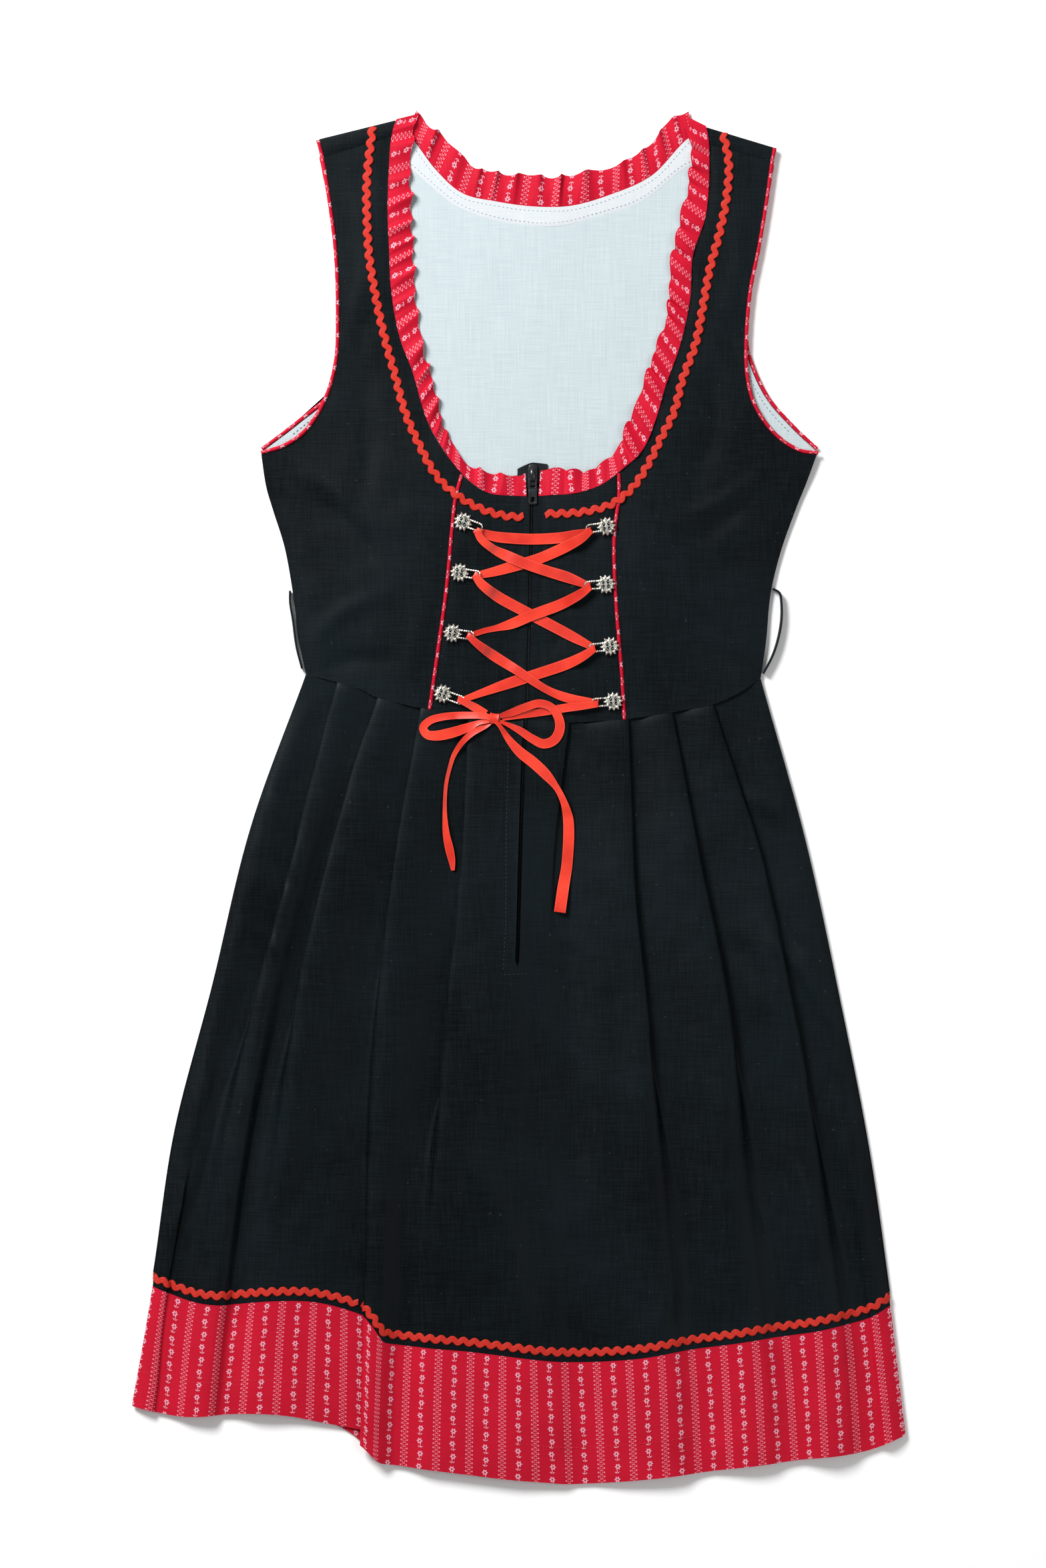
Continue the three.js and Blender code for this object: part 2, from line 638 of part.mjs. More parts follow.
// The underside of the front bodice: raised by the bust, rolled down to the back at the side seams, and
// lifted a little over the zip tape
function frontLevel(x, y) {
  const bust = (side) => {
    const dx = (x - BUST.centre - side * BUST.across) / BUST.width;
    const dy = (y - BUST.up) / BUST.height;
    return BUST.rise * Math.exp(-dx * dx - dy * dy);
  };
  const tape = easeInOut((26 - Math.abs(x - xAt(ZIP_LINE, y))) / 12);
  const raised = FRONT_LEVEL + Math.max(0.95 * tape, bust(-1) + bust(1));
  const toSide = Math.min(x - xAt(SIDE_SEAM_LEFT, y), xAt(SIDE_SEAM_RIGHT, y) - x);
  const below = easeInOut((240 - y) / 26);
  const rolled = SIDE_LEVEL + (raised - SIDE_LEVEL) * easeInOut(toSide / SIDE_ROLL);
  return raised + (rolled - raised) * below;
}

// The bodice back with its two shoulder straps, its lining and the facing of its neck
function makeBack() {
  const rows = ARMHOLE_ROWS.back;
  const bodyRows = 6;
  const level = () => BACK_LEVEL;
  const centre = BACK_NECK[5];
  const halfGrid = (side, armhole, neck, shoulder) => {
    const inset = side === SIDE_SEAM_LEFT ? -1 : 1;
    const body = spaced(side, bodyRows);
    const strap = moved(spaced(armhole, rows), inset * (2 * PIPING_RADIUS + GAP));
    strap[strap.length - 1] = shoulder.outer;
    const outer = [...body.slice(0, -1), ...strap];
    const neckLine = spaced(neck, rows);
    neckLine[rows] = shoulder.inner;
    const low = [centre[0], yAt(WAIST, centre[0]) + GAP / 2];
    const middle = spaced([low, centre], outer.length - 1 - rows);
    const inner = [...middle, ...neckLine.slice(1)];
    const columns = 3;
    const grid = panelGrid(outer, inner, columns, level, CLOTH);
    for (const part of [grid.top, grid.bottom]) {
      part[0] = part[0].map(([x, , z]) => [x, yAt(WAIST, x) + GAP / 2, z]);
    }
    return grid;
  };
  const waistLine = (grid) => grid.bottom[0].map(([x, y]) => [x, y - GAP / 2]);
  const wrapLine = (s, inward) => ({
    outer: [s.foldOuter[0] + inward * STRAP_TOP_INSET, s.foldOuter[1] - FOLD_LEG - GAP],
    inner: [s.foldInner[0], s.foldInner[1] - FOLD_LEG - GAP],
  });
  const left = halfGrid(SIDE_SEAM_LEFT, BACK_ARMHOLE_LEFT, [...BACK_NECK.slice(0, 6)].reverse(),
    wrapLine(SHOULDERS.left, 1));
  const right = halfGrid(SIDE_SEAM_RIGHT, BACK_ARMHOLE_RIGHT, BACK_NECK.slice(5),
    wrapLine(SHOULDERS.right, -1));
  wall("bodice_back", [left, right], FINISH.black);
  const neckLine = (grid) => grid.bottom.slice(-rows - 1).map((row) => row.at(-1).slice(0, 2));
  return {
    waist: [...waistLine(left), ...waistLine(right).reverse().slice(1)],
    neck: [...neckLine(left).reverse(), ...neckLine(right).slice(1)],
  };
}

function makeLining() {
  const rows = ARMHOLE_ROWS.back;
  const bodyRows = 5;
  const neckRows = 5;
  const level = () => LINING_LEVEL;
  const middleX = FACING_EDGE[4][0];
  const half = (side, armhole, neck, sign) => {
    const body = moved(spaced(side, bodyRows), -sign * (SIDE_ROLL + 1)).slice(0, -1);
    const strap = moved(spaced(armhole, rows), -sign * (2 * PIPING_RADIUS + 2 * GAP + 0.4)).slice(1);
    strap[strap.length - 1][0] += sign * 1.8;
    strap[strap.length - 1][1] -= 8;
    const outer = [...body, ...strap];
    const neckLine = spaced(neck, neckRows).map(([x, y]) => [x, y - GAP]);
    const low = [middleX, yAt(WAIST, middleX) + 2];
    const inner = [...spaced([low, neckLine[0]], outer.length - 1 - neckRows), ...neckLine.slice(1)];
    const grid = panelGrid(outer, inner, 2, level, LINING);
    for (const part of [grid.top, grid.bottom]) {
      part[0] = part[0].map(([x, , z]) => [x, yAt(WAIST, x) + 2, z]);
    }
    return grid;
  };
  const left = half(SIDE_SEAM_LEFT, BACK_ARMHOLE_LEFT, [...FACING_EDGE.slice(0, 5)].reverse(), 1);
  const right = half(SIDE_SEAM_RIGHT, BACK_ARMHOLE_RIGHT, FACING_EDGE.slice(4), -1);
  return wall("back_lining", [left, right], FINISH.lining);
}

function makeFacing() {
  const half = 5;
  const outer = moved(spaced(BACK_NECK.slice(1, -1), 2 * half), -1.2);
  const leftHalf = spaced([...FACING_EDGE.slice(0, 5)].reverse(), half).reverse();
  const inner = [...leftHalf, ...spaced(FACING_EDGE.slice(4), half).slice(1)];
  const grid = panelGrid(outer, inner, 2, () => LINING_LEVEL, LINING);
  return wall("back_neck_facing", [grid], FINISH.facing);
}

// The cloth of the back comes over the shoulder as a fold and is sewn to the front there
function makeShoulder(side, s) {
  const inset = side === "left" ? STRAP_INSET : -STRAP_INSET;
  const outerTop = FRONT_LEVEL + CLOTH;
  const middle = outerTop / 2;
  const stations = 5;
  const bends = 4;
  const top = [];
  const bottom = [];
  for (let i = 0; i <= stations; i += 1) {
    const t = i / stations;
    const mix = (a, b) => [a[0] + inset * (1 - t) + (b[0] - a[0]) * t, a[1] + (b[1] - a[1]) * t];
    const fold = mix(s.foldOuter, s.foldInner);
    const seam = mix(s.seamOuter, s.seamInner);
    const outerRow = [[fold[0], fold[1] - FOLD_LEG, BACK_LEVEL]];
    const innerRow = [[fold[0], fold[1] - FOLD_LEG, BACK_LEVEL + CLOTH]];
    for (let k = 0; k <= bends; k += 1) {
      const angle = -Math.PI / 2 + (Math.PI * k) / bends;
      const axisY = fold[1] - middle;
      const inner = middle - CLOTH;
      outerRow.push([fold[0], axisY + middle * Math.cos(angle), middle + middle * Math.sin(angle)]);
      innerRow.push([fold[0], axisY + inner * Math.cos(angle), middle + inner * Math.sin(angle)]);
    }
    outerRow.push([seam[0], seam[1] + GAP, outerTop]);
    innerRow.push([seam[0], seam[1] + GAP, FRONT_LEVEL]);
    top.push(outerRow);
    bottom.push(innerRow);
  }
  return { top, bottom };
}

// The two side fronts and the two centre fronts
function makeFront(side) {
  const left = side === "left";
  const sideSeam = left ? SIDE_SEAM_LEFT : SIDE_SEAM_RIGHT;
  const armhole = left ? FRONT_ARMHOLE_LEFT : FRONT_ARMHOLE_RIGHT;
  const princess = left ? PRINCESS_LEFT : PRINCESS_RIGHT;
  const neck = left ? NECK_SEAM_LEFT : NECK_SEAM_RIGHT;
  const s = SHOULDERS[side];
  const inward = left ? 1 : -1;
  const meet = princess.at(-1)[0];
  const neckUp = neck.filter(([x]) => (left ? x <= meet : x >= meet));
  const neckMeet = [meet, yAt(left ? [...neck.slice(0, 7)].reverse() : neck.slice(0, 7), meet)];

  const bodyRows = 8;
  const strapRows = ARMHOLE_ROWS.front;
  const armLine = moved(spaced(armhole, strapRows), -inward * (2 * PIPING_RADIUS + GAP));
  armLine[strapRows] = [s.seamOuter[0] + inward * STRAP_INSET, s.seamOuter[1]];
  const outer = [...spaced(sideSeam, bodyRows).slice(0, -1), ...armLine];
  const seamToNeck = [...princess.slice(0, -1), neckMeet];
  const princessLine = moved(spaced(seamToNeck, bodyRows), inward * (PIPING_RADIUS + GAP));
  const neckLine = spaced([neckMeet, ...neckUp.slice(1)], strapRows);
  neckLine[0] = princessLine[bodyRows];
  neckLine[strapRows] = s.seamInner;
  const inner = [...princessLine.slice(0, -1), ...neckLine];
  const sideGrid = panelGrid(outer, inner, 6, frontLevel, CLOTH);
  fitWaist(sideGrid, frontLevel, GAP / 2, CLOTH);
  const sideFront = wall(`side_front_${side}`, [sideGrid], FINISH.black);

  const centreRows = 7;
  const centreOuter = moved(spaced(seamToNeck, centreRows), -inward * (PIPING_RADIUS + GAP));
  const zipTop = [xAt(ZIP_LINE, neck[0][1]), neck[0][1]];
  const zipBottom = [xAt(ZIP_LINE, 55), 55];
  const zipEdge = moved(spaced([zipBottom, ...ZIP_LINE.slice(1, 3).reverse(), zipTop], centreRows),
    left ? ZIP_SLIT : -ZIP_SLIT);
  const centreGrid = panelGrid(centreOuter, zipEdge, 6, frontLevel, CLOTH);
  fitWaist(centreGrid, frontLevel, GAP / 2, CLOTH);
  const neckRow = left ? [...neck.slice(0, 7)].reverse() : neck.slice(0, 7);
  for (const part of [centreGrid.top, centreGrid.bottom]) {
    const lift = part === centreGrid.top ? CLOTH : 0;
    part[centreRows] = part[centreRows].map(([x]) => {
      const y = yAt(neckRow, x);
      return [x, y, frontLevel(x, y) + lift];
    });
  }
  const centreFront = wall(`centre_front_${side}`, [centreGrid], FINISH.black);
  const acrossTop = centreGrid.bottom[centreRows].map(([x, y]) => [x, y]).reverse();
  acrossTop[0] = neck[0];
  return { meshes: [sideFront, centreFront], neckline: [...acrossTop, ...neckLine], seamToNeck };
}

// The lowest row of a panel follows the waist seam
function fitWaist(grid, level, gap, thickness) {
  for (const part of [grid.top, grid.bottom]) {
    const lift = part === grid.top ? thickness : 0;
    part[0] = part[0].map(([x]) => {
      const y = yAt(WAIST, x) + gap;
      return [x, y, level(x, y) + lift];
    });
  }
}

// A gathered frill from its seam to its free edge
function makeRuffle(name, seamLine, edgeLine, rootLevel, edgeLevel, gapSide) {
  const waves = Math.round(lengthOf(seamLine) / RUFFLE.pitch);
  const steps = waves * RUFFLE.stepsPerWave;
  const seam = moved(spacedStraight(seamLine, steps), gapSide * (GAP + 0.15));
  const edge = spaced(edgeLine, steps);
  const bottom = seam.map((root, i) => {
    const free = edge[i];
    const phase = (2 * Math.PI * i) / RUFFLE.stepsPerWave + 0.6 * Math.sin(i * 0.7);
    const uneven = 0.7 + 0.3 * Math.sin(i * 0.37 + 1);
    return [0, 1].map((t) => {
      const x = root[0] + (free[0] - root[0]) * t;
      const y = root[1] + (free[1] - root[1]) * t;
      const rise = (RUFFLE.rootRise + (RUFFLE.edgeRise - RUFFLE.rootRise) * t) * uneven;
      const base = rootLevel(x, y) * (1 - t) + edgeLevel * t;
      return [x, y, base + rise * (0.5 + 0.5 * Math.sin(phase))];
    });
  });
  const top = bottom.map((row) => row.map(([x, y, z]) => [x, y, z + RUFFLE_CLOTH]));
  return wall(name, [{ top, bottom }], FINISH.print);
}

// One row of the skirt's middle surface, as x, height and whether the point is left of the hem pleat
function skirtRow(v) {
  const at = (values) => curveValue(LEVELS, values, v);
  const points = [];
  const sideRise = 3.2 * easeInOut(v / 0.2);
  const leftX = at(SIDE_LEFT);
  points.push({ x: leftX, h: 0, zone: 0 });
  points.push({ x: leftX + 3 + 2 * v, h: 0.75 * sideRise, zone: 0 });
  points.push({ x: leftX + 9 + 4 * v, h: sideRise, zone: 0 });
  PLEATS.forEach((pleat, number) => {
    const edge = at(pleat.edge);
    const height = Math.max(1, at(pleat.height));
    const crisp = clamp01(at(pleat.crisp));
    const radius = 0.85 + Math.max(0, height - 3.4) * 0.16;
    const under = Math.max(2 * radius + 0.4, at(pleat.under));
    const soft = 0.6 + height / 9;
    const folded = [
      [-under - 0.8, height], [-radius, height], [0, height - radius], [-radius, height - 2 * radius],
      [-under + radius, 2 * radius], [-under, radius], [-under + radius, 0], [4, 0],
    ];
    const waved = [[-16, 1], [-8, 0.95], [-3, 0.75], [0, 0.5], [3, 0.28], [6, 0.12], [9, 0.03], [14, 0]]
      .map(([q, share]) => [q * soft, height * share]);
    const line = folded.map(([q, h], k) => [
      waved[k][0] + (q - waved[k][0]) * crisp,
      waved[k][1] + (h - waved[k][1]) * crisp,
    ]);
    const ordered = pleat.facing < 0 ? [...line].reverse() : line;
    const zoneOf = (k) => (number < HEM_PLEAT || (number === HEM_PLEAT && k < 4) ? 0 : 1);
    ordered.forEach(([q, h], k) => {
      points.push({ x: edge + pleat.facing * q, h, zone: zoneOf(k) });
    });
    if (number === 3) {
      const before = points.at(-1);
      const zipX = xAt(ZIP_LINE, skirtY(0, v, 1));
      const slit = v < ZIP_ROW - 1e-6 ? ZIP_SLIT : 0;
      const next = at(PLEATS[4].height);
      for (const [x, share] of [[zipX - slit, 0.5], [zipX + slit, 0.5]]) {
        points.push({ x, h: before.h + (next - before.h) * share, zone: 1, slit: true });
      }
    }
  });
  points[2].x = Math.min(points[2].x, points[3].x - 2);
  const rightX = at(SIDE_RIGHT);
  points.push({ x: rightX - 9 - 4 * v, h: sideRise, zone: 1 });
  points.push({ x: rightX - 3 - 2 * v, h: 0.75 * sideRise, zone: 1 });
  points.push({ x: rightX, h: 0, zone: 1 });
  return points;
}

function skirtY(x, v, zone) {
  const seamY = yAt(zone === 0 ? HEM_SEAM_LEFT : HEM_SEAM_RIGHT, x);
  const hemY = yAt(zone === 0 ? HEM_LEFT : HEM_RIGHT, x);
  if (v <= 1) {
    const waistY = yAt(WAIST, x);
    return waistY + (seamY - waistY) * v;
  }
  return seamY + ((hemY - seamY) * (v - 1)) / BAND;
}

// The walls of one row: the middle surface moved half the cloth's thickness to each side
function skirtWalls(v, shift) {
  const row = skirtRow(v);
  const top = [];
  const bottom = [];
  row.forEach((point, i) => {
    const before = row[Math.max(0, i - 1)];
    const after = row[Math.min(row.length - 1, i + 1)];
    const unit = (a, b) => {
      const size = Math.hypot(b.x - a.x, b.h - a.h) || 1;
      return [(b.x - a.x) / size, (b.h - a.h) / size];
    };
    const arrive = i === 0 ? unit(point, after) : unit(before, point);
    const leave = i === row.length - 1 ? arrive : unit(point, after);
    let nx = -(arrive[1] + leave[1]);
    let nz = arrive[0] + leave[0];
    const size = Math.hypot(nx, nz) || 1;
    nx /= size;
    nz /= size;
    const spread = point.slit ? 1 : Math.min(1.42, 1 / Math.max(0.3, nz * arrive[0] - nx * arrive[1]));
    const half = (CLOTH / 2) * spread;
    const sideways = point.slit ? 0 : nx;
    const upwards = point.slit ? 1 : nz;
    const y = skirtY(point.x, v, point.zone) + shift;
    top.push([point.x + sideways * half, y, SKIRT_MIDDLE + point.h + upwards * half]);
    bottom.push([point.x - sideways * half, y, SKIRT_MIDDLE + point.h - upwards * half]);
  });
  return { top, bottom };
}

function clothGrid(rows, firstShift, lastShift) {
  const walls = rows.map((v, i) => {
    let shift = 0;
    if (i === 0) shift = firstShift;
    if (i === rows.length - 1) shift = lastShift;
    return skirtWalls(v, shift);
  });
  return { top: walls.map((w) => w.top), bottom: walls.map((w) => w.bottom) };
}

function makeSkirtFront() {
  const { top, bottom } = clothGrid(SKIRT_ROWS, -GAP, 0.2);
  const cut = skirtRow(0).findIndex((point) => point.slit) + 1;
  const part = (grid, from, to) => grid.map((row) => row.slice(from, to));
  const grids = [
    { top: part(top, 0, cut), bottom: part(bottom, 0, cut) },
    { top: part(top, cut, undefined), bottom: part(bottom, cut, undefined) },
  ];
  return wall("skirt_front", grids, FINISH.black);
}

function makeHemFront() {
  const { top, bottom } = clothGrid(BAND_ROWS, -GAP / 2, 0);
  return wall("hem_band_front", [{ top, bottom }], FINISH.print);
}

// The back of the skirt is flat on the surface: cloth, braid and band end to end, in columns that start
// at the corners of the bodice back's waist
function backStrip(name, from, to, rows, material, waistLine) {
  const waistXs = waistLine.flatMap(([x], i) => (i === 0 ? [x] : [(waistLine[i - 1][0] + x) / 2, x]));
  const shares = waistXs.map((x) => (x - waistXs[0]) / (waistXs.at(-1) - waistXs[0]));
  const bottom = [];
  for (let i = 0; i <= rows; i += 1) {
    const t = i / rows;
    const v = from.v + (to.v - from.v) * t;
    const shift = from.shift + (to.shift - from.shift) * t;
    const left = curveValue(LEVELS, SIDE_LEFT, v);
    const right = curveValue(LEVELS, SIDE_RIGHT, v);
    bottom.push(shares.map((share) => {
      const x = left + (right - left) * share;
      const leftShare = easeInOut((-90 - x) / 50);
      const low = skirtY(x, v, 0) * leftShare + skirtY(x, v, 1) * (1 - leftShare);
      return [x, v > 0 ? low + shift : straightAt(waistLine, x) - GAP, BACK_LEVEL];
    }));
  }
  const top = bottom.map((row) => row.map(([x, y, z]) => [x, y, z + CLOTH]));
  return wall(name, [{ top, bottom }], material);
}

// The zigzag middle line of ric-rac braid along a path of x, y
function zigzag(line, pitch, swing) {
  const steps = 2 * Math.round(lengthOf(line) / pitch);
  const even = spaced(line, steps);
  const one = moved(even, swing);
  const other = moved(even, -swing);
  return even.map((_, i) => (i % 2 === 0 ? one[i] : other[i]));
}

function layRicrac(name, line, ground) {
  const path = zigzag(line, RICRAC.pitch, RICRAC.swing);
  const laid = path.map(([x, y]) => [x, y, ground.highest(x, y, 3.6) + GAP]);
  return sweep(name, laid, () => flatSection(RICRAC.band, TRIM), FINISH.braid);
}

// The braid above the hem band keeps to the cloth's folds. It is parted where the hem pleat overlaps.
function layHemRicrac(name, firstColumn, lastColumn) {
  const row = 1 - HEM_RICRAC_UP / 440;
  const walls = skirtWalls(row, 0);
  const top = walls.top.slice(firstColumn, lastColumn);
  const bottom = walls.bottom.slice(firstColumn, lastColumn);
  const lengths = [0];
  for (let i = 1; i < top.length; i += 1) {
    lengths.push(lengths[i - 1] + Math.hypot(top[i][0] - top[i - 1][0], top[i][2] - top[i - 1][2]));
  }
  const waves = Math.round(lengths.at(-1) / RICRAC.pitch);
  const rows = [];
  for (let k = 0; k <= 2 * waves; k += 1) {
    const s = (lengths.at(-1) * k) / (2 * waves);
    let i = 0;
    while (i < lengths.length - 2 && s > lengths[i + 1]) i += 1;
    const t = (s - lengths[i]) / (lengths[i + 1] - lengths[i]);
    const mix = (line, axis) => line[i][axis] + (line[i + 1][axis] - line[i][axis]) * t;
    const lean = [mix(top, 0) - mix(bottom, 0), mix(top, 2) - mix(bottom, 2)];
    const size = Math.hypot(...lean);
    const swing = k % 2 === 0 ? RICRAC.swing : -RICRAC.swing;
    rows.push({
      x: mix(top, 0),
      y: mix(top, 1) + swing,
      z: mix(top, 2),
      nx: lean[0] / size,
      nz: lean[1] / size,
    });
  }
  const half = RICRAC.band / 2 + 0.35;
  const lift = (place, height, side) => [
    place.x + place.nx * height, place.y + side, place.z + place.nz * height];
  const low = GAP + HEM_RICRAC_LIFT;
  const upper = rows.map((place) => [lift(place, low + TRIM, half), lift(place, low + TRIM, -half)]);
  const under = rows.map((place) => [lift(place, low, half), lift(place, low, -half)]);
  return wall(name, [{ top: upper, bottom: under }], FINISH.braid);
}

function layPiping(name, line, level, steps, inset) {
  const path = moved(spaced(line, steps), inset).map(([x, y]) => [x, y, level(x, y)]);
  return sweep(name, path, () => roundSection(PIPING_RADIUS, PIPING_SIDES), FINISH.print);
}

// A lacing hook: a star-shaped rosette with four sewing holes on a round base, and a bent wire loop
function makeHook(name, { star, tip }, ground) {
  const shape = new THREE.Shape();
  for (let k = 0; k < 2 * STAR.points; k += 1) {
    const radius = k % 2 === 0 ? STAR.outer : STAR.inner;
    const angle = (Math.PI * k) / STAR.points;
    const place = [radius * Math.cos(angle), radius * Math.sin(angle)];
    if (k === 0) shape.moveTo(...place);
    else shape.lineTo(...place);
  }
  for (const [x, y] of STAR_HOLES) {
    const hole = new THREE.Path();
    for (let k = 0; k < 4; k += 1) {
      const angle = (Math.PI * k) / 2;
      const place = [x + STAR.holeRadius * Math.cos(angle), y + STAR.holeRadius * Math.sin(angle)];
      if (k === 0) hole.moveTo(...place);
      else hole.lineTo(...place);
    }
    hole.closePath();
    shape.holes.push(hole);
  }
  const plate = new THREE.ExtrudeGeometry(shape, { depth: STAR.thickness, bevelEnabled: false });
  plate.translate(0, 0, STAR.level);
  const base = new THREE.CylinderGeometry(STAR_BASE_RADIUS, STAR_BASE_RADIUS, STAR.level + 0.3, 8);
  base.rotateX(Math.PI / 2);
  base.translate(0, 0, (STAR.level + 0.3) / 2);

  const reach = Math.hypot(tip[0] - star[0], tip[1] - star[1]);
  const turnAt = reach - WIRE.halfWidth;
  const route = [new THREE.Vector3(STAR.inner - 0.6, WIRE.halfWidth, WIRE.level)];
  for (let k = 0; k <= WIRE.tipSteps; k += 1) {
    const angle = Math.PI / 2 - (Math.PI * k) / WIRE.tipSteps;
    route.push(new THREE.Vector3(turnAt + WIRE.halfWidth * Math.cos(angle), WIRE.halfWidth * Math.sin(angle),
      WIRE.level));
  }
  route.push(new THREE.Vector3(STAR.inner - 0.6, -WIRE.halfWidth, WIRE.level));
  const wireSection = new THREE.Shape(
    roundSection(WIRE.radius, WIRE.sides).map(([x, y]) => new THREE.Vector2(x, y)),
  );
  const wire = new THREE.ExtrudeGeometry(wireSection, {
    extrudePath: new THREE.CatmullRomCurve3(route, false, "centripetal"),
    steps: WIRE.steps,
    bevelEnabled: false,
  });
  const solid = toSolid(plate).add(toSolid(base)).add(toSolid(wire));
  const geometry = toGeometry(solid);
  geometry.rotateZ(Math.atan2(tip[1] - star[1], tip[0] - star[0]));
  const seat = ground.highest(star[0], star[1], 6) + GAP;
  geometry.translate(star[0], star[1], seat);
  addMesh(name, geometry, FINISH.silver);
  return seat + WIRE.level + WIRE.radius;
}

// A stretch of ribbon. It lies on the ground below it; near its start it also clears the hook's wire.
function layRibbon(name, route, ground, wireTop) {
  const line = route.map(([x, y]) => [x, y]);
  const steps = Math.max(6, Math.round(lengthOf(line) / 7));
  const places = spaced(line, steps);
  const widths = places.map((_, i) => {
    const s = (i / steps) * (route.length - 1);
    const k = Math.min(route.length - 2, Math.floor(s));
    return route[k][2] + (route[k + 1][2] - route[k][2]) * (s - k);
  });
  const path = places.map(([x, y], i) => {
    const radius = widths[i] / 2 + 2.6;
    let height = ground.highest(x, y, radius);
    if (i < 3) height = Math.max(height, wireTop);
    return [x, y, height + GAP];
  });
  return sweep(name, path, (i) => flatSection(widths[i], RIBBON), FINISH.satin);
}

function makeKnot(level) {
  const shape = new THREE.Shape();
  const { halfWidth: w, halfHeight: h } = KNOT;
  const corners = [[-w, -0.6 * h], [-0.7 * w, -h], [0.7 * w, -h], [w, -0.6 * h], [w, 0.6 * h], [0.7 * w, h],
    [-0.7 * w, h], [-w, 0.6 * h]];
  shape.setFromPoints(corners.map(([x, y]) => new THREE.Vector2(x, y)));
  const geometry = new THREE.ExtrudeGeometry(shape, { depth: KNOT.thickness, bevelEnabled: false });
  geometry.deleteAttribute("uv");
  geometry.deleteAttribute("normal");
  geometry.translate(KNOT.x, KNOT.y, level);
  return addMesh("lace_knot", mergeVertices(geometry, 1e-4), FINISH.satin);
}

// The zip: tape, closed chain, slider with its bridge, and the pull tab
function zipStrip(name, bottomY, topY, halfWidth, level, thickness, material) {
  const rows = 14;
  const grid = [];
  for (let i = 0; i <= rows; i += 1) {
    const y = bottomY + ((topY - bottomY) * i) / rows;
    const x = xAt(ZIP_LINE, y);
    grid.push([[x - halfWidth, y, level], [x + halfWidth, y, level]]);
  }
  const top = grid.map((row) => row.map(([x, y, z]) => [x, y, z + thickness]));
  return wall(name, [{ top, bottom: grid }], material);
}

function box(x0, x1, y0, y1, z0, z1) {
  const geometry = new THREE.BoxGeometry(x1 - x0, y1 - y0, z1 - z0);
  geometry.translate((x0 + x1) / 2, (y0 + y1) / 2, (z0 + z1) / 2);
  return geometry;
}

function makeSlider(level) {
  const { x, bottom, length, halfWidth: w, thickness } = SLIDER;
  const shape = new THREE.Shape();
  const topY = bottom + length;
  shape.setFromPoints([
    [x - 0.62 * w, bottom], [x + 0.62 * w, bottom], [x + w, bottom + 2], [x + w, topY - 3.4],
    [x + 0.66 * w, topY - 0.8], [x + 0.3 * w, topY], [x - 0.3 * w, topY], [x - 0.66 * w, topY - 0.8],
    [x - w, topY - 3.4], [x - w, bottom + 2],
  ].map(([px, py]) => new THREE.Vector2(px, py)));
  const body = new THREE.ExtrudeGeometry(shape, { depth: thickness, bevelEnabled: false });
  body.translate(0, 0, level);
  const plateTop = level + thickness;
  const arch = box(x - BRIDGE.halfWidth, x + BRIDGE.halfWidth, BRIDGE.from, BRIDGE.to, plateTop - 0.5,
    plateTop + BRIDGE.rise);
  const tunnel = box(x - BRIDGE.halfWidth - 1, x + BRIDGE.halfWidth + 1, BRIDGE.from + BRIDGE.wall,
    BRIDGE.to - BRIDGE.wall, plateTop, plateTop + BRIDGE.rise - BRIDGE.wall);
  const solid = toSolid(body).add(toSolid(arch).subtract(toSolid(tunnel)));
  addMesh("zip_slider", toGeometry(solid), FINISH.zip);
  return plateTop;
}

function makePull(plateTop) {
  const { x } = SLIDER;
  const arm = PULL.armHalfGap + PULL.armWidth;
  const axisZ = plateTop + 1.1;
  const low = axisZ - PULL.thickness / 2;
  const bar = new THREE.CylinderGeometry(PULL.barRadius, PULL.barRadius, 2 * PULL.armHalfGap + 1, 10);
  bar.rotateZ(Math.PI / 2);
  bar.translate(x, PULL.pivotY, axisZ);
  let solid = toSolid(bar);
  for (const side of [-1, 1]) {
    const from = x + side * PULL.armHalfGap;
    const to = x + side * arm;
    solid = solid.add(toSolid(box(Math.min(from, to), Math.max(from, to), PULL.plateTop - 0.5,
      PULL.pivotY + PULL.barRadius, low, low + PULL.thickness)));
  }
  const plate = new THREE.Shape();
  plate.setFromPoints([
    [x - arm, PULL.plateTop], [x - arm, PULL.plateBottom + 1], [x - arm + 1, PULL.plateBottom],
    [x + arm - 1, PULL.plateBottom], [x + arm, PULL.plateBottom + 1], [x + arm, PULL.plateTop],
  ].map(([px, py]) => new THREE.Vector2(px, py)));
  const plateBody = new THREE.ExtrudeGeometry(plate, { depth: PULL.thickness, bevelEnabled: false });
  plateBody.translate(0, 0, low);
  const window = box(x - PULL.windowHalf, x + PULL.windowHalf, PULL.plateBottom + PULL.rim,
    PULL.plateBottom + PULL.rim + PULL.windowHeight, low - 1, low + PULL.thickness + 1);
  solid = solid.add(toSolid(plateBody)).subtract(toSolid(window));
  addMesh("zip_pull", toGeometry(solid), FINISH.zip);
}

const ground = new Ground();

const back = makeBack();
makeLining();
makeFacing();
const fronts = {};
for (const side of ["left", "right"]) {
  wall(`shoulder_fold_${side}`, [makeShoulder(side, SHOULDERS[side])], FINISH.black);
  fronts[side] = makeFront(side);
  for (const mesh of fronts[side].meshes) ground.add(mesh);
}

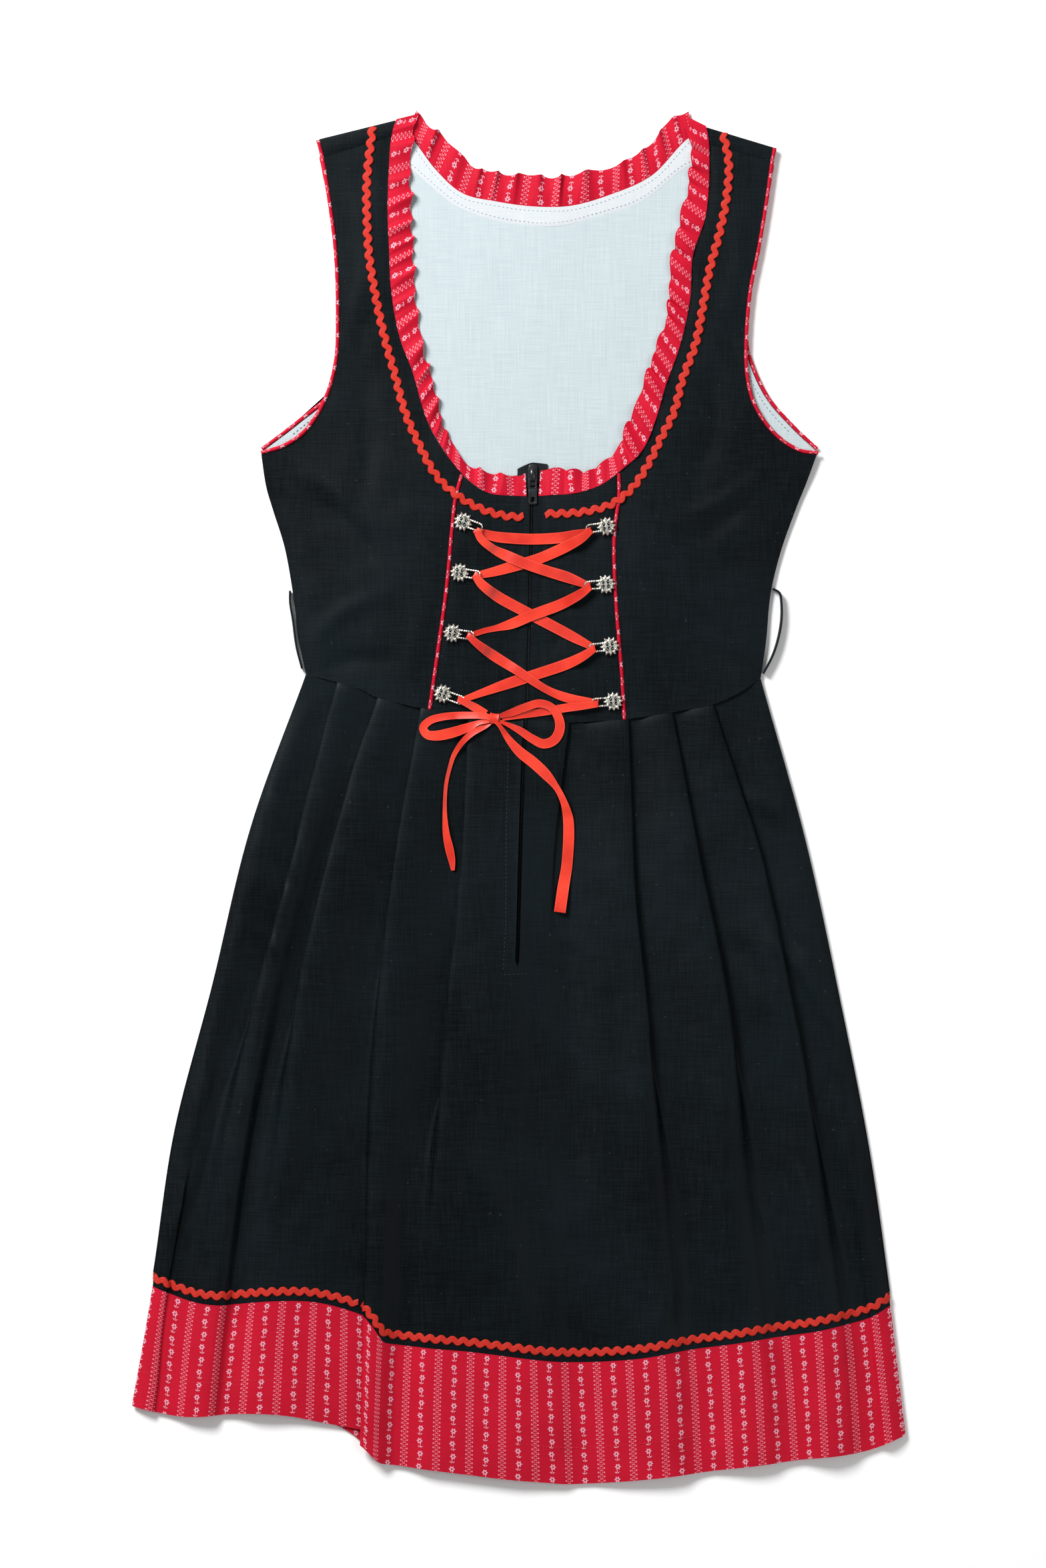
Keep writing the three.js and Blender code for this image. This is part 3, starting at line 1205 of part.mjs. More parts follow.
const backPipingLevel = () => BACK_LEVEL + PIPING_RADIUS;
const frontPipingLevel = (x, y) => Math.max(frontLevel(x, y), FRONT_LEVEL) + PIPING_RADIUS;
layPiping("armhole_piping_back_left", BACK_ARMHOLE_LEFT, backPipingLevel, ARMHOLE_ROWS.back, -PIPING_RADIUS);
layPiping("armhole_piping_back_right", BACK_ARMHOLE_RIGHT, backPipingLevel, ARMHOLE_ROWS.back, PIPING_RADIUS);
layPiping("armhole_piping_front_left", FRONT_ARMHOLE_LEFT, frontPipingLevel, ARMHOLE_ROWS.front,
  -PIPING_RADIUS);
layPiping("armhole_piping_front_right", FRONT_ARMHOLE_RIGHT, frontPipingLevel, ARMHOLE_ROWS.front,
  PIPING_RADIUS);
const seamPipingLevel = (x, y) => frontLevel(x, y) + CLOTH - 0.4;
for (const side of ["left", "right"]) {
  const seam = fronts[side].seamToNeck;
  const last = seam.at(-1);
  const line = [...seam.slice(0, -1), [last[0], last[1] - 1]];
  ground.add(layPiping(`princess_piping_${side}`, line, seamPipingLevel, 8, 0));
}

const overLining = LINING_LEVEL + LINING + GAP;
const frontRoot = (x, y) => frontLevel(x, y);
makeRuffle("neck_ruffle_front_left", fronts.left.neckline, NECK_EDGE_LEFT, frontRoot, overLining, -1);
makeRuffle("neck_ruffle_front_right", fronts.right.neckline, NECK_EDGE_RIGHT, frontRoot, overLining, 1);
const backSeam = [BACK_RUFFLE_FROM, ...back.neck.map(([x]) => x), BACK_RUFFLE_TO]
  .filter((x) => x >= BACK_RUFFLE_FROM && x <= BACK_RUFFLE_TO)
  .map((x) => [x, straightAt(back.neck, x)]);
makeRuffle("neck_ruffle_back", backSeam, BACK_RUFFLE_EDGE, () => 0.2, 0.4, 1);

ground.add(makeSkirtFront());
makeHemFront();
const bandTopUp = HEM_RICRAC_UP + RICRAC.swing + RICRAC.band / 2;
backStrip("skirt_back", { v: 0, shift: 0 }, { v: 1, shift: bandTopUp + GAP }, 5, FINISH.black, back.waist);
backStrip("ricrac_hem_back", { v: 1, shift: bandTopUp }, { v: 1, shift: GAP }, 1, FINISH.braid, back.waist);
backStrip("hem_band_back", { v: 1, shift: 0 }, { v: 1.22, shift: 1.5 }, 2, FINISH.print, back.waist);
const hemRow = skirtRow(1);
const hemEdge = curveValue(LEVELS, PLEATS[HEM_PLEAT].edge, 1);
layHemRicrac("ricrac_hem_front_left", 0, hemRow.findIndex((point) => point.x > hemEdge - 5));
layHemRicrac("ricrac_hem_front_right", hemRow.findLastIndex((point) => point.x < hemEdge + 2) + 1, undefined);

ground.add(layRicrac("ricrac_neck_left", RICRAC_LEFT.slice(1), ground));
ground.add(layRicrac("ricrac_neck_right", RICRAC_RIGHT.slice(1), ground));

const loopSection = [[BELT_LOOP.thickness / 2, BELT_LOOP.low], [BELT_LOOP.thickness / 2, BELT_LOOP.high],
  [-BELT_LOOP.thickness / 2, BELT_LOOP.high], [-BELT_LOOP.thickness / 2, BELT_LOOP.low]];
for (const [name, line] of [["belt_loop_left", BELT_LOOP_LEFT], ["belt_loop_right", BELT_LOOP_RIGHT]]) {
  sweep(name, spaced(line, 12).map(([x, y]) => [x, y, 0]), () => loopSection, FINISH.black);
}

const chainLevel = ZIP_TAPE.level + ZIP_TAPE.thickness + GAP;
zipStrip("zip_tape", ZIP_TAPE.bottom, ZIP_TAPE.top, ZIP_TAPE.halfWidth, ZIP_TAPE.level, ZIP_TAPE.thickness,
  FINISH.zip);
zipStrip("zip_chain", ZIP_CHAIN.bottom, ZIP_CHAIN.top, ZIP_CHAIN.halfWidth, chainLevel, ZIP_CHAIN.thickness,
  FINISH.zip);
makePull(makeSlider(chainLevel));

const wireTops = {};
for (const [place, hook] of Object.entries(HOOKS)) {
  wireTops[place] = makeHook(`hook_${place}`, hook, ground);
}
for (const [name, stretch] of Object.entries(LACE)) {
  ground.add(layRibbon(name, stretch.route, ground, wireTops[stretch.over] ?? 0));
}
const knotLevel = ground.highest(KNOT.x, KNOT.y, 4.5) + GAP;
const knot = makeKnot(knotLevel);
for (const [name, route] of [...Object.entries(BOW), ...Object.entries(TAILS)]) {
  ground.add(layRibbon(name, route, ground, 0));
}
ground.add(knot);

export default dress;
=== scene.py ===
# The looks of a laced dirndl that lies flat on its back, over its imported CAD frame.
# Tables are in millimetres, +X to the right, +Y to the shoulders, +Z up from the surface.
import math

import bpy
import numpy as np
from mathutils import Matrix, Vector
from mathutils.bvhtree import BVHTree


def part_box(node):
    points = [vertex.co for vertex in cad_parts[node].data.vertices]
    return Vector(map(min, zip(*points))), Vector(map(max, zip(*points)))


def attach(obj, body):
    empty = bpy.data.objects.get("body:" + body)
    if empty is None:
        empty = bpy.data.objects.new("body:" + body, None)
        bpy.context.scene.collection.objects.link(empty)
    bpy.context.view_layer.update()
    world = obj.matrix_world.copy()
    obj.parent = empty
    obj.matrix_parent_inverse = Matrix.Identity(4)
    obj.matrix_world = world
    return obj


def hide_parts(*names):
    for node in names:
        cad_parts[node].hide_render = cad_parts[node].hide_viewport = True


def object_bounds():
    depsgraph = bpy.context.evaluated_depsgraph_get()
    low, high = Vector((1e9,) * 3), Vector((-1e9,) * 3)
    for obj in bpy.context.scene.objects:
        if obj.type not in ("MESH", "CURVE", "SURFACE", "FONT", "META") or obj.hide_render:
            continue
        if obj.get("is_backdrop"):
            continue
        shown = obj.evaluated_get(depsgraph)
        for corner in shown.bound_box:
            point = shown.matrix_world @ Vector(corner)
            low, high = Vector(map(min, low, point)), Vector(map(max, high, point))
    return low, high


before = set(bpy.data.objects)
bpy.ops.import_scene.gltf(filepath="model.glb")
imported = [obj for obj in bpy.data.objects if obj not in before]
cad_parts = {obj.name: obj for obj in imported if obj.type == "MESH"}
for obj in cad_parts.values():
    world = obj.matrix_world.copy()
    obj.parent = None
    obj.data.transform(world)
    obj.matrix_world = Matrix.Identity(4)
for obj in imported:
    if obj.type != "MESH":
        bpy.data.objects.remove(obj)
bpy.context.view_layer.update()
MM = 0.001

# Outlines of the dress, as in its CAD source, x and y
SIDE_SEAM_LEFT = [[-153, 88], [-158.5, 114], [-160.5, 132], [-163, 150.5], [-168.5, 180], [-177, 207],
    [-181.5, 222.5], [-185.5, 249]]
SIDE_SEAM_RIGHT = [[174, 85], [178, 112.5], [180, 136.5], [182, 150.5], [189, 178], [200, 208.5],
    [207, 226], [215.5, 249]]
BACK_ARMHOLE_LEFT = [[-185.5, 251], [-160.5, 270], [-136, 292], [-130.5, 316], [-131, 349],
    [-133, 391.5], [-137.5, 428], [-143.5, 460]]
BACK_ARMHOLE_RIGHT = [[215.5, 251], [198.5, 267], [180, 288.5], [167, 318], [165, 335], [168, 364.5],
    [174, 394.5], [180, 431], [183.8, 454]]
FRONT_ARMHOLE_LEFT = [[-185.5, 248.5], [-169.5, 253.5], [-154.5, 264], [-141, 285], [-133, 312.5],
    [-131.5, 349], [-133, 391.5], [-137.5, 428], [-142.5, 459]]
FRONT_ARMHOLE_RIGHT = [[215.5, 248.5], [203, 250], [186, 261], [171, 282], [165.5, 303.5], [165, 330.5],
    [168, 364.5], [174, 394.5], [180, 431], [183.5, 456]]
NECK_SEAM_LEFT = [[5.6, 215.5], [-6, 216], [-20.5, 217.5], [-32.5, 224], [-43, 234], [-54, 248.5],
    [-66, 270], [-77, 306.5], [-86, 330.5], [-92, 364.5], [-93.5, 394.5], [-94.5, 425.5], [-92, 474]]
NECK_SEAM_RIGHT = [[14.2, 215.6], [25, 216.5], [39.5, 217.5], [59, 223.5], [73.5, 234], [89, 248.5],
    [99.5, 273], [105.5, 294], [116.5, 325], [123.5, 358], [125.5, 389], [135, 419], [137.5, 468]]
NECK_EDGE_LEFT = [[5.2, 237.5], [-6, 236], [-20.5, 233.5], [-31.5, 236], [-42, 246], [-54, 267],
    [-59, 288.5], [-65.5, 312.5], [-71, 335.5], [-74.5, 364.5], [-75.5, 389], [-77, 430], [-78, 482]]
NECK_EDGE_RIGHT = [[14.6, 239], [27.5, 237], [44.5, 233.5], [59, 238.5], [71, 250.5], [80.5, 273],
    [90, 297], [99, 323.5], [106.5, 345], [109, 376], [112, 398], [121, 434], [124.5, 480]]
BACK_NECK = [[-88.5, 484], [-77, 473], [-59, 449.5], [-40.5, 433.5], [-15.5, 427.5], [11, 424],
    [37.5, 424.5], [64.5, 432], [95.5, 446], [122, 473], [134.5, 479]]
BACK_RUFFLE_EDGE = [[-73, 490], [-59, 479], [-39.5, 460], [-28, 451.5], [-8.5, 448.5], [17, 446.5],
    [37, 447], [52, 450], [71, 455], [87, 463], [98, 474], [112, 489], [120, 494.2]]
FACING_EDGE = [[-88, 458], [-79.5, 453], [-45.5, 425], [-18, 414.5], [11, 410], [30.5, 410.5], [60, 418],
    [89, 428], [121.5, 453], [136, 457]]
WAIST = [[-153, 88], [-115, 77.5], [-101.5, 71], [-69.5, 63.5], [-37, 59.5], [6, 55], [39.5, 53.5],
    [76.5, 55.5], [110, 60.5], [139.5, 66], [159.5, 75], [174, 85]]
PRINCESS_LEFT = [[-64, 62.8], [-58.5, 101.5], [-52, 148.5], [-47.5, 196.5], [-45.5, 214], [-41, 232]]
PRINCESS_RIGHT = [[76, 55.6], [74, 89.5], [72, 112.5], [69.5, 147], [68.5, 173.5], [69, 192.5],
    [72, 215.5], [72, 232.5]]
RICRAC_LEFT = [[-105, 481.5], [-109, 443.5], [-109, 416], [-107.5, 389], [-102.5, 358], [-96.5, 330.5],
    [-89, 303.5], [-81.5, 276], [-71, 252], [-59, 230.5], [-45, 217], [-26.5, 206.5], [-8.5, 201.5],
    [3.5, 201]]
RICRAC_RIGHT = [[147, 477], [151, 455.5], [149.5, 431], [144, 403.5], [137.5, 379.5], [132.5, 352.5],
    [127, 325], [118, 300.5], [111.5, 276], [102.5, 258], [93.5, 239.5], [81.5, 221.5], [67.5, 210.5],
    [46.5, 204.5], [19, 203]]
BELT_LOOP_LEFT = [[-164.4, 148], [-164.6, 140], [-162.6, 126.5], [-160, 107.5], [-155.8, 92]]
BELT_LOOP_RIGHT = [[182.8, 149.4], [187.5, 146.5], [188.6, 141], [188.6, 127], [186, 112.5], [182, 100.5],
    [175.9, 88.5]]
ZIP_LINE = [[10, 240], [9.5, 215.5], [6.5, 83.5], [3, 18], [-1, -121]]
# Levels down the skirt, from 0 at the waist to 1 at the band's seam and 1.22 at the hem, and the x of its
# sides there
LEVELS = [0, 0.25, 0.5, 0.75, 1, 1.22]
SIDE_LEFT = [-153, -193, -220, -247.5, -263, -278]
SIDE_RIGHT = [174, 206, 230.5, 252, 267, 278]
# The band's seam and the hem, on both sides of the hem's step
HEM_SEAM_LEFT = [[-264, -351.5], [-239, -361.5], [-219.5, -365], [-200.5, -364.5], [-181, -362.5],
    [-152.5, -362.5], [-133, -366], [-108, -374]]
HEM_SEAM_RIGHT = [[-118, -384.5], [-104.5, -388], [-95, -392.5], [-66, -396], [-37, -398.5], [-8.5, -402],
    [20.5, -405.5], [39.5, -406.5], [59, -406], [87.5, -403.5], [116.5, -398.5], [145, -394.5], [174, -390],
    [203, -386], [231.5, -380], [251, -375], [267.5, -365.5]]
HEM_LEFT = [[-278, -438], [-258, -443], [-239, -445.5], [-200.5, -443.5], [-181, -443.5], [-162, -445.5],
    [-143, -449.5], [-108, -456]]
HEM_RIGHT = [[-120, -469.5], [-104.5, -477.5], [-85, -481], [-37, -487], [-8.5, -490.5], [20.5, -493],
    [39.5, -494.2], [87.5, -491], [145, -484], [203, -476.5], [251, -470], [278, -459]]
STAR_HOLES = [[-1.8, -1.6], [-1.8, 1.6], [1.8, -1.6], [1.8, 1.6]]
SHOULDERS = {
    "left": {"fold_outer": (-146, 473), "fold_inner": (-88.5, 486.5),
             "seam_outer": (-142.5, 459.5), "seam_inner": (-92, 474.5)},
    "right": {"fold_outer": (186, 467), "fold_inner": (135, 481.5),
              "seam_outer": (183.5, 456.5), "seam_inner": (137.5, 468.5)},
}
HOOKS = {
    "left_1": {"star": (-40, 197.5), "tip": (-26.5, 192.5)},
    "left_2": {"star": (-42.5, 161), "tip": (-28, 159)},
    "left_3": {"star": (-47.5, 117.5), "tip": (-32.5, 115.5)},
    "left_4": {"star": (-54.5, 74), "tip": (-39.5, 68.5)},
    "right_1": {"star": (63, 194), "tip": (48.5, 192)},
    "right_2": {"star": (62.5, 152.5), "tip": (47.5, 151.5)},
    "right_3": {"star": (65.5, 108), "tip": (50.5, 106.5)},
    "right_4": {"star": (68, 68.5), "tip": (52.5, 67.5)},
}
# The pleats, with six values for the six levels
PLEATS = [
    {"facing": -1, "edge": (-130.5, -158, -188.5, -215, -234, -243), "under": (10, 9, 6, 4, 3, 3),
     "height": (3.4, 5.5, 8, 8, 7, 6), "crisp": (1, 1, 0.8, 0.35, 0.1, 0)},
    {"facing": -1, "edge": (-101.5, -133.5, -159, -176.5, -191, -198), "under": (12, 10, 7, 4, 3, 3),
     "height": (3.4, 6, 8.5, 7, 5, 5), "crisp": (1, 1, 0.85, 0.3, 0.1, 0)},
    {"facing": -1, "edge": (-70.5, -89.5, -103, -109, -112, -114), "under": (12, 10, 6, 6, 8, 8),
     "height": (3.4, 6, 7, 6.5, 6.5, 6.5), "crisp": (1, 0.95, 0.6, 0.5, 0.8, 0.9)},
    {"facing": -1, "edge": (-36, -42, -53, -64, -71, -74), "under": (12, 11, 8, 4, 3, 3),
     "height": (3.4, 7, 9.5, 8, 5.5, 5), "crisp": (1, 1, 0.95, 0.4, 0.1, 0)},
    {"facing": 1, "edge": (36.5, 25, 25, 27.5, 32.5, 36), "under": (8, 5, 3, 3, 3, 3),
     "height": (3.4, 4, 3, 2.6, 3, 3.4), "crisp": (1, 0.4, 0.1, 0, 0, 0)},
    {"facing": 1, "edge": (79, 83.5, 95, 107, 116.5, 121), "under": (12, 10, 7, 4, 3, 3),
     "height": (3.4, 6, 8, 7.5, 6, 5.5), "crisp": (1, 1, 0.8, 0.3, 0.1, 0)},
    {"facing": 1, "edge": (110.5, 132, 153.5, 166, 179, 185), "under": (12, 10, 7, 4, 3, 3),
     "height": (3.4, 6.5, 9, 8, 6, 5.5), "crisp": (1, 1, 0.9, 0.3, 0.1, 0)},
    {"facing": 1, "edge": (140, 172, 198, 218, 234, 241), "under": (11, 10, 7, 5, 3, 3),
     "height": (3.4, 6, 8, 8, 7, 6), "crisp": (1, 1, 0.9, 0.6, 0.2, 0)},
]
# The lace as one ribbon, from the knot round all hooks and back. Each stretch has its CAD node, -1 where its
# points run against the ribbon's way, and its points as x, y and width.
LACE = [
    ("lace_left_4_knot", -1, [(-43, 70, 4), (-36, 66.5, 5), (-30.5, 63.5, 5.5), (-23.5, 59.5, 5)]),
    ("lace_right_3_left_4", -1, [(54, 106, 4.5), (45.5, 100.5, 6), (35, 95.5, 7), (14.5, 88.5, 7),
                                 (-5.5, 82, 7), (-25.5, 75, 5), (-40.5, 69.5, 3.5)]),
    ("lace_left_2_right_3", -1, [(-31.5, 159, 4.5), (-26.5, 152.5, 6), (-15.5, 144, 7), (4.5, 133, 7),
                                 (24.5, 122.5, 7), (39.5, 114.5, 6.5), (52, 108, 4.5)]),
    ("lace_right_1_left_2", -1, [(51.5, 191, 4.5), (45, 185.5, 6), (35, 180, 7), (14.5, 171, 7),
                                 (-5.5, 165, 7), (-18, 161.5, 6), (-29.5, 159, 4.5)]),
    ("lace_top", -1, [(-29, 190.5, 4.5), (-18, 187, 6.5), (-3.5, 185.5, 7), (11, 185, 7), (30, 186, 7),
                      (41, 188, 6.5), (50, 190, 4.5)]),
    ("lace_left_1_right_2", 1, [(-30, 191, 4.5), (-27, 185, 5), (-18.5, 178, 5.5), (-8.5, 173, 7),
                                (4.5, 167.5, 7), (20.5, 162, 7), (35, 157.5, 7), (49, 152, 4.5)]),
    ("lace_right_2_left_3", 1, [(51, 150.5, 4.5), (43.5, 145, 6), (30, 138, 7), (10, 130.5, 7),
                                (-5.5, 124, 6.5), (-16.5, 121, 4), (-25.5, 119, 3.5), (-34, 116, 3.5)]),
    ("lace_left_3_right_4", 1, [(-36, 115.5, 4), (-30, 110, 5), (-20.5, 103, 6.5), (0, 90, 6), (20, 77, 5),
                                (35, 71, 6), (54, 67.5, 5)]),
    ("lace_right_4_knot", 1, [(56.5, 66.5, 4), (44.5, 65, 5), (35, 64, 5.5), (14.5, 60.5, 5), (-4, 58, 4.5),
                              (-12, 57, 4.5)]),
]
# The bow's loops and the lace's two ends, from the knot on, as x, y and width
LOOSE_ENDS = {
    "bow_loop_left": [(-22.6, 57.5, 3.5), (-36, 58.5, 4), (-53.5, 57.5, 4.2), (-64, 54.5, 4.4),
                      (-68.6, 49.5, 4.6), (-66, 44.8, 5), (-60, 43.8, 5.6), (-50, 45.5, 6), (-37, 49.6, 5),
                      (-29, 53, 3)],
    "bow_loop_right": [(-13, 58, 2.6), (-5, 60.5, 4.2), (5.5, 64.5, 4.6), (15, 67, 4.6), (23, 64.5, 4.6),
                       (28.5, 57, 5.2), (29.5, 48.5, 5.6), (25.5, 40.8, 5.6), (18, 38, 5.4), (9.5, 41.8, 4.8),
                       (0, 48, 4), (-12.2, 53.5, 2)],
    "lace_tail_left": [(-23.2, 51, 3), (-33.5, 45.6, 4), (-41, 38.5, 3.4), (-46.5, 30, 3), (-49.5, 21, 2.6),
                       (-52, 10, 2.4), (-53, -2, 2.4), (-53, -15, 3), (-52, -27, 4.4), (-49.8, -37.5, 5.4),
                       (-48, -46, 4.4), (-47.2, -53, 2.4)],
    "lace_tail_right": [(-13.6, 50.8, 2.6), (-7, 41, 4.5), (1, 32, 6.5), (10.5, 24.5, 7), (19.5, 16, 6.5),
                        (27.5, 6, 4), (32.5, -4, 4.5), (35.5, -15.5, 6.5), (36, -27, 7), (35.5, -38.5, 7),
                        (34.5, -50.5, 7), (32, -65.5, 7.4), (29.5, -83, 7.4)],
}
# HEM_PLEAT is the pleat at the hem's step. BAND and ZIP_ROW are in the unit of LEVELS, and the others are
# in millimetres.
KNOT = (-17.8, 56)
HEM_PLEAT = 2
BAND = 0.22
ZIP_ROW = 0.387
ZIP_SLIT = 1.4
PIPING_RADIUS = 1.3
GAP = 0.3
CLOTH = 1.2
FRONT_LEVEL = 3.0
SIDE_LEVEL = 1.5
SKIRT_MIDDLE = 2.2
SIDE_ROLL = 14
RICRAC_PITCH = 8.0
RICRAC_SWING = 1.2
RICRAC_HALF_WIDTH = 2.15
HEM_RICRAC_UP = 6.7
HEM_RICRAC_TOP = 10.05
CLOTH_WALL = 0.9
THIN_WALL = 0.6
BACK_WALL = 1.1
BACK_MIDDLE = 0.6
RIBBON_WIDTH = 7
SKIRT_LENGTH = 440
WAIST_AT_ZIP = 55
MM_PER_UV = 100
# Grids are joined where points fall on the same spot of a grid this fine
JOIN_GRID = 0.002

# Creases laid in one by one: from x, y to x, y, half width and height, in millimetres
SKIRT_CREASES = [
    (158, 0, 186, -11, 3.0, 1.3), (180, -86, 204, -110, 3.4, -1.4), (184, -105, 224, -158, 4.2, 1.5),
    (150, -102, 177, -137, 3.8, -1.2), (8, -96, 47, -108, 3.2, 0.8), (-83, -225, -82, -372, 10, 1.5),
    (-56, 12, -55, -243, 16, -1.3), (-47, -245, 15, -391, 8, 1.5), (38, -262, 72, -345, 7, 1.1),
    (107, -325, 103, -391, 8, 1.4), (164, -280, 203, -368, 7, -1.3), (199, -266, 218, -330, 6, 1.2),
    (-227, -175, -254, -345, 5, 1.5), (-193, 12, -160, -32, 3.6, 1.1), (-190, -40, -150, -77, 3.8, -1.1),
    (-196, -90, -150, -141, 4.4, 1.2), (-150, -200, -171, -330, 9, -1.4), (60, -60, 74, -230, 14, -1.2),
    (48, -150, 60, -300, 9, 0.9), (130, -180, 148, -330, 10, 1.0), (-22, -150, -34, -330, 12, 1.0),
    (-128, -240, -140, -350, 8, 1.1), (232, -250, 250, -352, 5, 1.2), (-12, -35, 6, -70, 4, 0.6),
]
BODICE_CREASES = [
    (176, 236, 118, 196, 6, 0.9), (170, 226, 120, 176, 7, -0.8), (166, 120, 108, 158, 7, 0.9),
    (168, 96, 120, 110, 6, -0.7), (-152, 232, -108, 196, 6, 0.8), (-148, 214, -100, 170, 7, -0.8),
    (-148, 112, -96, 150, 7, 0.8), (-140, 92, -88, 100, 6, -0.6), (-118, 300, -108, 210, 8, -0.7),
    (140, 300, 126, 215, 8, -0.7), (-112, 420, -118, 330, 8, 0.5), (158, 420, 146, 330, 8, 0.5),
    (-70, 150, -76, 90, 6, 0.5), (92, 150, 96, 84, 6, 0.5), (-30, 150, -14, 120, 5, 0.4),
    (34, 134, 22, 100, 5, -0.4), (-26, 104, -8, 80, 5, 0.4),
]
LINING_CREASES = [(-30, 390, -48, 300, 9, 1), (66, 400, 70, 316, 9, 1), (8, 402, 12, 300, 12, 0.8),
    (-10, 300, 30, 262, 12, 0.7)]


# A soft step from 0 to 1
def ease(t):
    s = np.clip(t, 0, 1)
    return s * s * (3 - 2 * s)


# The smooth curve through values at the stations, read at t
def curve_value(stations, values, t):
    stations = np.asarray(stations, float)
    values = np.asarray(values, float)
    t = np.asarray(t, float)
    i = np.clip(np.searchsorted(stations[1:], t, side="left"), 0, len(stations) - 2)
    order = np.arange(len(stations))
    before = np.maximum(order - 1, 0)
    after = np.minimum(order + 1, len(stations) - 1)
    slope = (values[after] - values[before]) / (stations[after] - stations[before])
    span = stations[i + 1] - stations[i]
    u = (t - stations[i]) / span
    u2 = u * u
    u3 = u2 * u
    return ((2 * u3 - 3 * u2 + 1) * values[i] + (u3 - 2 * u2 + u) * span * slope[i]
            + (3 * u2 - 2 * u3) * values[i + 1] + (u3 - u2) * span * slope[i + 1])


# The y of a line that runs across at x, and the x of a line that runs up or down at y
def y_at(line, x):
    line = np.asarray(line, float)
    return curve_value(line[:, 0], line[:, 1], np.clip(x, line[0, 0], line[-1, 0]))


def x_at(line, y):
    line = np.asarray(line, float)
    if line[0, 1] > line[-1, 1]:
        line = line[::-1]
    return curve_value(line[:, 1], line[:, 0], np.clip(y, line[0, 1], line[-1, 1]))


# The middle two of four points, and how fast a smooth line leaves the one and arrives at the other
def stretch_ends(four, least_gap):
    a, b, c, d = four
    gaps = [max(least_gap, np.linalg.norm(n[:2] - m[:2]) ** 0.5) for m, n in ((a, b), (b, c), (c, d))]
    leave = ((b - a) / gaps[0] - (c - a) / (gaps[0] + gaps[1]) + (c - b) / gaps[1]) * gaps[1]
    arrive = ((c - b) / gaps[1] - (d - b) / (gaps[1] + gaps[2]) + (d - c) / gaps[2]) * gaps[1]
    return b, c, leave, arrive


# The smooth stretch between two points, at shares t of it
def hermite(b, c, leave, arrive, t):
    t2 = t * t
    t3 = t2 * t
    return (2 * t3 - 3 * t2 + 1) * b + (t3 - 2 * t2 + t) * leave + (3 * t2 - 2 * t3) * c + (t3 - t2) * arrive


# A smooth line through the points, as count + 1 points at equal distances. Further columns, such as the
# width, go along.
def spaced(line, count):
    p = np.asarray(line, float)
    p = np.vstack([2 * p[0] - p[1], p, 2 * p[-1] - p[-2]])
    dense = []
    for k in range(1, len(p) - 2):
        b, c, leave, arrive = stretch_ends(p[k - 1:k + 3], 1e-4)
        stretch = hermite(b, c, leave, arrive, np.linspace(0, 1, 25)[:, None])
        dense.append(stretch if k == 1 else stretch[1:])
    dense = np.vstack(dense)
    steps = np.hypot(*np.diff(dense[:, :2], axis=0).T)
    along = np.concatenate([[0], np.cumsum(steps)])
    at = np.linspace(0, along[-1], count + 1)
    return read_at(at, along, dense)


# The length along a line, up to each of its points
def along_line(line):
    steps = np.linalg.norm(np.diff(np.asarray(line, float), axis=0), axis=1)
    return np.concatenate([[0], np.cumsum(steps)])


# Each vector at length 1
def unit(vectors):
    return vectors / np.linalg.norm(vectors, axis=1)[:, None]


# The direction of a line at each of its points
def direction_of(line):
    return unit(np.gradient(line, axis=0))


# A line's columns, read at given lengths along it
def read_at(lengths, known, line):
    return np.stack([np.interp(lengths, known, column) for column in line.T], axis=1)


# The direction to the left of a line, at each of its points
def sideways(line):
    way = direction_of(np.asarray(line, float)[:, :2])
    return np.stack([-way[:, 1], way[:, 0]], axis=1)


# A line moved sideways, to its left
def moved(line, distance):
    out = np.array(line, float)
    out[:, :2] += sideways(line) * distance
    return out


# Soft uneven waves between -1 and 1, as cloth has between its larger folds
def ripple(x, y, size, seed):
    total = 0
    for k in range(4):
        angle = seed * 1.7 + k * 2.4
        length = size * (0.7 + 0.35 * k)
        phase = seed * 3.1 + k * 1.9
        total = total + np.sin((x * math.cos(angle) + y * math.sin(angle)) / length * 2 * math.pi + phase
                               + 0.8 * np.sin(y / size + phase))
    return total / 4


# The rise that a table of creases gives at x, y
def creases(x, y, table):
    rise = np.zeros_like(np.asarray(x, float))
    for x0, y0, x1, y1, half_width, height in table:
        way = np.array([x1 - x0, y1 - y0], float)
        length = np.hypot(*way)
        way /= length
        t = ((x - x0) * way[0] + (y - y0) * way[1]) / length
        bend = 0.06 * length * np.sin(t * math.pi * 1.3)
        off = (y - y0) * way[0] - (x - x0) * way[1] - bend
        fade = np.sin(np.clip((t + 0.15) / 1.3, 0, 1) * math.pi) ** 1.2
        rise = rise + height * fade * np.exp(-(off / half_width) ** 2)
    return rise


# The underside of the bodice's front: over the bust, over the zip's tape and down to the side seams
def front_level(x, y):
    def bust(side):
        dx = (x - 9 - side * 76) / 58
        dy = (y - 178) / 95
        return 4.4 * np.exp(-dx * dx - dy * dy)
    tape = ease((26 - np.abs(x - x_at(ZIP_LINE, y))) / 12)
    raised = FRONT_LEVEL + np.maximum(0.95 * tape, bust(-1) + bust(1))
    to_side = np.minimum(x - x_at(SIDE_SEAM_LEFT, y), x_at(SIDE_SEAM_RIGHT, y) - x)
    below = ease((240 - y) / 26)
    rolled = SIDE_LEVEL + (raised - SIDE_LEVEL) * ease(to_side / SIDE_ROLL)
    return raised + (rolled - raised) * below


